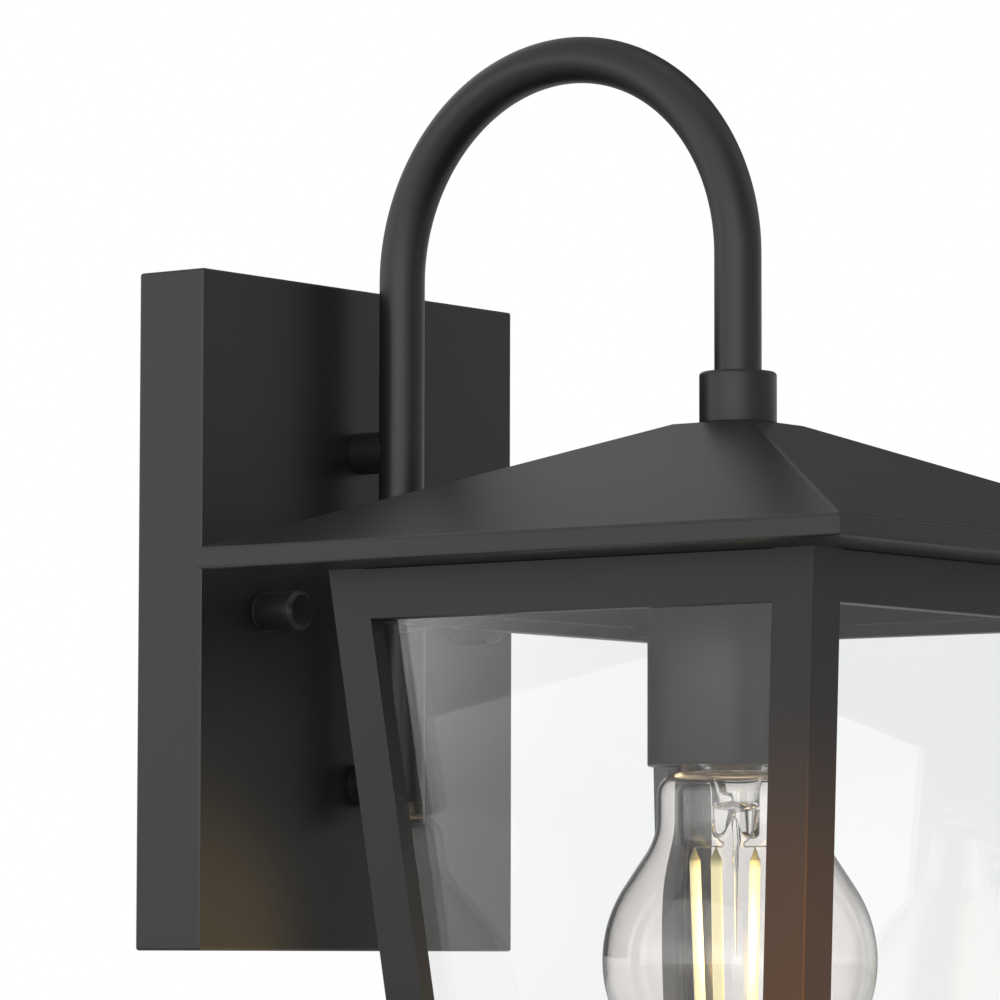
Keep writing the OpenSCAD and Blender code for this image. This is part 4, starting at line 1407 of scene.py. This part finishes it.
@dataclass
class Stem(LampPart):
    """The flared glass stem, pinched at its end, and the drawn rod that hangs from the pinch.

    The pinch is thinned through, and notched between its two rounded feet. The bead is a list of
    (radius, drop under the stem's end, rounding) in millimetres.
    """

    radius: float = 5.2 * MM
    wall: float = 0.8 * MM
    seat_gap: float = 0.1 * MM
    lip_drop: float = 1.0 * MM
    lip_round: float = 1.2 * MM
    flare: float = 1.4 * MM
    flare_drop: float = 3.2 * MM
    flare_round: float = 3 * MM
    throat_drop: float = 8 * MM
    throat_round: float = 7 * MM
    end_round: float = 1.6 * MM
    end_share: float = 0.6
    end_rings: int = 8
    inner_lip_drop: float = 0.4 * MM
    inner_lift: float = 0.5 * MM
    inner_round: float = 2.0 * MM
    pinch: float = 6.5 * MM
    pinch_turn: float = -52.4
    pinch_thin: float = 0.55
    pinch_reach: float = 1.5
    pinch_fade: float = 1.5
    notch: float = 4.5 * MM
    notch_width: float = 1.7 * MM
    notch_shift: float = -0.5 * MM
    rod_length: float = 25 * MM
    rod_rise: float = 0.4 * MM
    rod_radius: float = 0.9 * MM
    rod_round: float = 0.4 * MM
    tail_radius: float = 0.16 * MM
    tail_round: float = 0.1 * MM
    bead: tuple[tuple[float, float, float], ...] = (
        (0.85, 0.5, 0.8),
        (0.62, 2.6, 0.8),
        (0.8, 4.6, 0.8),
        (0.5, 7, 2),
        (0.4, 14, 2),
    )
    sway: float = 0.32 * MM
    sway_reach: float = 7 * MM
    sway_turn: float = 4.6

    @property
    def across(self) -> Vector:
        """The direction across the pinch's width."""
        return flat_way(self.pinch_turn)

    @property
    def through(self) -> Vector:
        """The direction through the pinch's thickness."""
        return Vector((-self.across.y, self.across.x, 0))

    def pinch_glass(self, bulb: Bulb) -> None:
        """Turns the flared stem and pinches its end into two rounded feet.

        Args:
            bulb: the bulb, in whose seat the stem's lip is fused.
        """
        lip = bulb.seat_radius - bulb.wall - self.seat_gap
        top, end, slim = self.rim + bulb.seat_height, self.stem_end, self.radius - self.wall
        flare_z, throat_z = self.rim - self.flare_drop, self.rim - self.throat_drop
        end_radius = self.radius * self.end_share
        outside = rounded(
            [
                (lip, top, 0),
                (lip, self.rim - self.lip_drop, self.lip_round),
                (self.radius + self.flare, flare_z, self.flare_round),
                (self.radius, throat_z, self.throat_round),
                (self.radius, end, self.end_round),
                (end_radius, end, 0),
            ],
            steps=8,
        )
        rings = range(self.end_rings - 1)
        outside += [(end_radius * (self.end_rings - 1 - i) / self.end_rings, end) for i in rings]
        inside = rounded(
            [
                (0, end + self.pinch, 0),
                (slim, end + self.pinch, self.inner_round),
                (slim, throat_z, self.throat_round),
                (slim + self.flare, flare_z + self.inner_lift, self.flare_round),
                (lip - self.wall, self.rim - self.inner_lip_drop, self.lip_round),
                (lip - self.wall, top, 0),
            ],
            steps=8,
        )
        glass = turned(outside + [(0, end)] + inside, self.axis, loop=True)
        across, through = self.across, self.through
        for vert in glass.verts:
            offset = vert.co - self.axis
            height = max(0.0, (vert.co.z - end) / (self.pinch * self.pinch_reach))
            near = max(0.0, 1 - height) ** self.pinch_fade
            spread = (offset.dot(across) - self.notch_shift) / self.notch_width
            vert.co -= through * offset.dot(through) * self.pinch_thin * near
            vert.co.z += self.notch * near * math.exp(-spread * spread)
        self.shop.hand_over("bulb_stem_flared", glass, Body.LAMP, Slot.STEM_GLASS, "bulb_stem", crease=60)

    def draw_rod(self) -> None:
        """Draws the glass rod under the pinch: a twisted bead that runs out into a thin tail."""
        start, end = self.stem_end + self.notch + self.rod_rise, self.stem_end - self.rod_length
        top = [(0, start, 0), (self.rod_radius, start, self.rod_round)]
        beads = [(r * MM, self.stem_end - drop * MM, ease * MM) for r, drop, ease in self.bead]
        tail = [(self.tail_radius, end, self.tail_round), (0, end, 0)]
        rod = turned(rounded(top + beads + tail, steps=8), self.axis, steps=32)
        across, through = self.across, self.through
        for vert in rod.verts:
            depth = (self.stem_end - vert.co.z) / self.sway_reach
            sway, turn = self.sway * math.exp(-depth * depth), self.sway_turn * depth
            vert.co += across * sway * math.cos(turn) + through * sway * math.sin(turn)
        self.shop.hand_over("bulb_stem_rod", rod, Body.LAMP, Slot.STEM_GLASS, crease=60)


@dataclass
class Filaments(LampPart):
    """Four glowing rods round the lamp's axis, and the wires that hold them.

    A rod has bare tapered tips; the glow stops are (tapers from the end, glow).
    """

    count: int = 4
    radius: float = 1.2 * MM
    taper: float = 2.1 * MM
    tip_radius: float = 0.3 * MM
    tip_round: float = 0.1 * MM
    taper_round: float = 0.8 * MM
    taper_rings: tuple[float, float] = (1.5, 1.9)
    glow_stops: tuple[Point, ...] = ((0.0, 0.0), (0.9, 0.12), (1.9, 1.0))
    first_turn: float = 10.1
    top_out: float = 10 * MM
    foot_out: float = 8.4 * MM
    wire_radius: float = 0.17 * MM
    wire_sides: int = 10
    wire_drop: float = 1.75 * MM
    lead_out: float = 3.6 * MM
    lead_rise: float = 7 * MM
    lead_end: float = 0.2 * MM
    hook_in: float = 1.5 * MM
    hook_rise: float = 0.9 * MM
    back_in: float = 1.2 * MM
    back_drop: float = 0.2 * MM
    arm_share: float = 0.96
    arm_bow: float = 0.4 * MM
    foot_rise: float = 0.5 * MM
    corner_cuts: int = 3
    corner_share: float = 0.25

    def line(self, index: int) -> tuple[Vector, Vector]:
        """One rod's axis.

        Args:
            index: which rod.

        Returns:
            Its upper and its lower end.
        """
        low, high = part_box("filaments")
        out = flat_way(self.first_turn + 360 / self.count * index)
        top = self.axis + out * self.top_out + up(high.z)
        return top, self.axis + out * self.foot_out + up(low.z)

    def glow(self, end: float) -> float:
        """How brightly a rod glows.

        Args:
            end: the distance from its nearer end.

        Returns:
            The glow, from 0 to 1.
        """
        for (near, dim), (far, bright) in zip(self.glow_stops, self.glow_stops[1:]):
            near, far = near * self.taper, far * self.taper
            if near <= end <= far:
                return dim + (bright - dim) * (end - near) / (far - near)
        return 1.0

    def rods(self) -> None:
        """Turns the four glowing rods."""
        whole = bmesh.new()
        whole.verts.layers.float.new(GLOW)
        for index in range(self.count):
            top, foot = self.line(index)
            length = (top - foot).length
            rings = [(self.radius, self.taper * share, 0) for share in self.taper_rings]
            tip = [(0, 0, 0), (self.tip_radius, 0, self.tip_round)]
            half = [*tip, (self.radius, self.taper, self.taper_round), *rings]
            other = [(radius, length - height, ease) for radius, height, ease in half[::-1]]
            rod = turned(rounded(half + other, steps=6), Vector(), steps=24)
            layer = rod.verts.layers.float.new(GLOW)
            for vert in rod.verts:
                vert[layer] = self.glow(min(vert.co.z, length - vert.co.z))
            lean = Vector((0, 0, 1)).rotation_difference((foot - top).normalized())
            place = Matrix.Translation(top) @ lean.to_matrix().to_4x4()
            bmesh.ops.transform(rod, matrix=place, verts=rod.verts)
            whole.from_mesh(as_mesh(rod, "rod"))
        self.shop.hand_over("filament_rods", whole, Body.LAMP, Slot.FILAMENT, "filaments", crease=50)

    def wires(self, stem: Stem) -> None:
        """Bends the wires from the stem's feet to the rods, and joins the rods' lower ends.

        Args:
            stem: the stem, out of whose feet the wires come.
        """
        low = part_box("filament_wires")[0].z + self.wire_radius
        crown = up(self.stem_end - self.wire_drop)
        across, through = stem.across, stem.through
        paths = []
        for side in (-1, 1):
            foot = self.axis + across * (stem.notch_shift + side * self.lead_out)
            root = foot + up(self.stem_end + self.lead_rise)
            end = foot + up(self.stem_end - self.lead_end)
            hook = foot + across * -side * self.hook_in + crown + up(self.hook_rise)
            turn_back = foot + across * -side * self.back_in + crown - up(self.back_drop)
            centre = foot + crown
            paths.append([root, end, hook, turn_back, centre])
            for index in range(self.count):
                top, _ = self.line(index)
                flat = top - self.axis - up(top.z)
                if flat.dot(across) * side > 0:
                    over = self.axis + flat * self.arm_share + crown
                    paths.append([centre, centre.lerp(over, 0.5) + through * self.arm_bow, over, top])
        for index in range(self.count):
            _, foot = self.line(index)
            under = Vector((foot.x, foot.y, low + self.foot_rise))
            paths.append([foot, under, self.axis + up(low)])
        steel = self.shop.materials[Slot.WIRE_STEEL]
        smooth = [self.smoothed(path) for path in paths]
        mesh = swept_rod(smooth, self.wire_radius, self.wire_sides, steel)
        name = "filament_wires"
        self.shop.hand_over(f"{name}_bent", mesh, Body.LAMP, Slot.WIRE_STEEL, name, crease=50)

    def smoothed(self, path: Sequence[Vector]) -> list[Vector]:
        """Rounds a path by repeated corner cutting.

        Args:
            path: its points.

        Returns:
            More points, with the same ends.
        """
        points = list(path)
        for _ in range(self.corner_cuts):
            cut = [points[0]]
            for a, b in zip(points, points[1:]):
                cut += [a.lerp(b, self.corner_share), a.lerp(b, 1 - self.corner_share)]
            points = cut + [points[-1]]
        return points


@dataclass
class Lamp(Assembly):
    """The clear lamp: bulb and base, stem, filaments and their wires."""

    def build(self) -> None:
        """Makes the lamp's pieces, from the bulb inwards."""
        bulb, stem, filaments = Bulb(self.shop), Stem(self.shop), Filaments(self.shop)
        bulb.blow()
        stem.pinch_glass(bulb)
        filaments.rods()
        filaments.wires(stem)
        stem.draw_rod()
        bulb.roll_base()


# ---------------------------------------------------------------- studio and camera


@dataclass(frozen=True)
class SoftRing:
    """Evenly spaced soft patches of light at one height round the lantern, angles in degrees."""

    height: float
    tightness: float
    strengths: tuple[float, ...]
    start: float = 0.0

    def patches(self) -> list[tuple[tuple[float, float, float], float]]:
        """Each patch that gives light.

        Returns:
            The patches' directions and strengths.
        """
        level, first = math.radians(self.height), math.radians(self.start)
        flat, rise = math.cos(level), math.sin(level)
        made = []
        for index, strength in enumerate(self.strengths):
            turn = first + 2 * math.pi * index / len(self.strengths)
            if strength:
                made.append(((flat * math.cos(turn), flat * math.sin(turn), rise), strength))
        return made


MIDDLE_RING = (0.6, 0.25, 0.0, 0.0, 0.0, 0.15, 0.35, 0.65, 1.06, 1.2, 0.86, 1.27)
MIDDLE_RING += (1.36, 1.47, 1.66, 1.41, 0.74, 0.48, 0.38, 0.25, 0.28, 0.11, 0.34, 0.23)
SURROUND = (
    SoftRing(5, 45, MIDDLE_RING),
    SoftRing(-18, 14, (0.23, 0.0, 0.0, 0.3, 0.42, 0.24, 0.92, 1.03, 0.57, 0.33, 0.33, 0.0)),
    SoftRing(30, 14, (0.0, 0.0, 0.74, 0.56, 0.38, 0.57, 0.85, 0.86, 0.15, 0.0, 0.35, 0.62)),
    SoftRing(58, 9, (0.0, 0.0, 0.17, 0.31, 0.22, 0.34)),
    SoftRing(90, 12, (0.69,)),
    SoftRing(-50, 6, (0.5, 0.01, 0.79, 0.17), 45),
    SoftRing(-90, 6, (0.78,)),
    SoftRing(-6, 3000, (4.6,), 140.3),
    SoftRing(-9, 3000, (4.8,), 140.3),
)


@dataclass(frozen=True)
class WarmSpot:
    """A soft-edged warm spot light that falls on one piece only.

    The power is in watts and the angle is the cone's full angle in degrees.
    """

    name: str
    piece: str
    power: float
    colour: tuple[float, float, float]
    angle: float


@dataclass
class Studio:
    """A pale floor, a soft surround with a white backdrop, and the lamp's own warm light."""

    floor_drop: float = 4 * MM
    floor_size: float = 2.4
    floor_fade: tuple[float, float] = (0.6, 2.3)
    floor_colour: Colour = rgb(0.86, 0.86, 0.86)
    floor_roughness: float = 0.7
    floor_specular: float = 0.2
    light_size: float = 12 * MM
    lamp_power: float = 0.25
    lamp_colour: tuple[float, float, float] = (1.0, 0.75, 0.48)
    plate_shift: tuple[float, float, float] = (-8 * MM, 0, -4 * MM)
    plate_glow: WarmSpot = WarmSpot("lamp_glow", "backplate_pan", 4.0, (1.0, 0.62, 0.14), 46)
    post_drop: float = 34 * MM
    post_shift: tuple[float, float, float] = (-0.24, -0.18, 0)
    post_glow: WarmSpot = WarmSpot("lamp_haze", "post_front_left_angle", 36.0, (1.0, 0.34, 0.01), 31)

    def build(self) -> None:
        """Builds floor, world and lights, and sets the plain view."""
        bpy.context.scene.view_settings.view_transform = "Standard"
        self.floor()
        self.world()
        self.lamp_lights()

    def floor(self) -> None:
        """Lays a pale disc whose rim fades into the white surround."""
        low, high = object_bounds()
        centre = (low + high) / 2
        place = Vector((centre.x, centre.y, low.z - self.floor_drop))
        ground = set_down("floor", as_mesh(turned([(0, 0), (self.floor_size, 0)], place), "floor"))
        finish = bpy.data.materials.new("finish_floor")
        tree = Tree.shading(finish)
        values = {
            "Base Color": self.floor_colour,
            "Roughness": self.floor_roughness,
            "Specular IOR Level": self.floor_specular,
        }
        paint = tree.out(tree.node("ShaderNodeBsdfPrincipled", None, values))
        clear = tree.out(tree.node("ShaderNodeBsdfTransparent"))
        reach = tree.node("ShaderNodeVectorMath", {"operation": "LENGTH"}, {0: tree.place()})
        start, end = self.floor_fade
        fade = ((tree.out(reach, "Value") - start) * (1 / (end - start))).clamped()
        mixed = tree.shader_mix(fade, paint, clear)
        tree.node("ShaderNodeOutputMaterial", None, {"Surface": mixed})
        ground.data.materials.append(finish)
        ground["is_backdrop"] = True

    def world(self) -> None:
        """White for what looks at it or through glass at it, and soft patches of light for the rest."""
        world = bpy.data.worlds.new("surround")
        bpy.context.scene.world = world
        tree = Tree.shading(world)
        path = tree.node("ShaderNodeLightPath")
        mirrored = tree.out(path, "Glossy Depth").clamped()
        through = tree.out(path, "Is Transmission Ray") * (1.0 - mirrored)
        seen = tree.out(path, "Is Camera Ray").larger(through)
        ahead = tree.out(tree.node("ShaderNodeTexCoord"), "Generated")
        level: Any = 0.0
        for ring in SURROUND:
            for direction, strength in ring.patches():
                values = {0: ahead, 1: direction}
                facing = tree.node("ShaderNodeVectorMath", {"operation": "DOT_PRODUCT"}, values)
                spread = ((tree.out(facing, "Value") - 1.0) * ring.tightness).exponent()
                level = spread * strength + level
        soft, white = (
            tree.out(tree.node("ShaderNodeBackground", None, {"Color": rgb(1, 1, 1), "Strength": power}))
            for power in (level, 1.0)
        )
        both = tree.shader_mix(seen, soft, white)
        tree.node("ShaderNodeOutputWorld", None, {"Surface": both})

    def lamp_lights(self) -> None:
        """Adds the filaments' light in the bulb, and their warmth on the backplate and the near post."""
        low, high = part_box("filaments")
        lamp = (low + high) / 2
        data = bpy.data.lights.new("lamp_light", "POINT")
        data.energy, data.color = self.lamp_power, self.lamp_colour
        self.light(data, lamp)
        self.spot(self.plate_glow, lamp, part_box("backplate")[0] + Vector(self.plate_shift))
        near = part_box("post_front_left")[0]
        foot = Vector((near.x, near.y, lamp.z - self.post_drop))
        self.spot(self.post_glow, foot + Vector(self.post_shift), foot)

    def spot(self, warm: WarmSpot, place: Vector, target: Vector) -> None:
        """Adds one warm spot light.

        Args:
            warm: the light.
            place: where it stands.
            target: where it points.
        """
        data = bpy.data.lights.new(warm.name, "SPOT")
        data.energy, data.color = warm.power, warm.colour
        data.spot_size, data.spot_blend = math.radians(warm.angle), 1.0
        holder = self.light(data, place)
        holder.rotation_mode = "QUATERNION"
        holder.rotation_quaternion = (target - place).to_track_quat("-Z", "Y")
        lit = bpy.data.collections.new(f"{warm.name}_receivers")
        lit.objects.link(bpy.data.objects[warm.piece])
        holder.light_linking.receiver_collection = lit

    def light(self, data: bpy.types.Light, place: Vector) -> bpy.types.Object:
        """Sets down a small light that isn't seen itself.

        Args:
            data: the light.
            place: where it stands.

        Returns:
            The light's object.
        """
        data.shadow_soft_size = self.light_size
        holder = set_down(data.name, data)
        holder.location = place
        holder.visible_camera = holder.visible_glossy = holder.visible_transmission = False
        return holder


@dataclass
class Camera:
    """A long lens from the left and slightly below; angles in degrees, the lens in millimetres."""

    place: tuple[float, float, float] = (-1.01523, -0.84162, -0.07653)
    azimuth: float = 52.369
    pitch: float = 4.555
    roll: float = -0.1228
    lens: float = 205.456
    sensor: float = 36.0
    clip: tuple[float, float] = (0.05, 50.0)

    def build(self) -> None:
        """Makes the scene's camera."""
        data = bpy.data.cameras.new("camera")
        data.lens, data.sensor_width = self.lens, self.sensor
        data.clip_start, data.clip_end = self.clip
        holder = set_down("camera", data)
        turn, lift, roll = (math.radians(v) for v in (self.azimuth, self.pitch, self.roll))
        ahead = Vector((math.sin(turn) * math.cos(lift), math.cos(turn) * math.cos(lift), math.sin(lift)))
        right = Vector((math.cos(turn), -math.sin(turn), 0))
        above = right.cross(ahead)
        tilted_right = right * math.cos(roll) - above * math.sin(roll)
        tilted_up = right * math.sin(roll) + above * math.cos(roll)
        axes = Matrix((tilted_right, tilted_up, -ahead)).transposed().to_4x4()
        holder.matrix_world = Matrix.Translation(self.place) @ axes
        bpy.context.scene.camera = holder


def main() -> None:
    """Builds the lantern's pieces, the studio and the camera, in order."""
    logging.basicConfig(level=logging.INFO, format="%(name)s: %(message)s")
    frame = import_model()
    Camera().build()
    shop = Workshop(frame)
    for assembly in (Backplate, Mounting, Gooseneck, Roof, Cage, Socket, Lamp):
        assembly(shop).build()
    Studio().build()


if __name__ == "__main__":
    main()
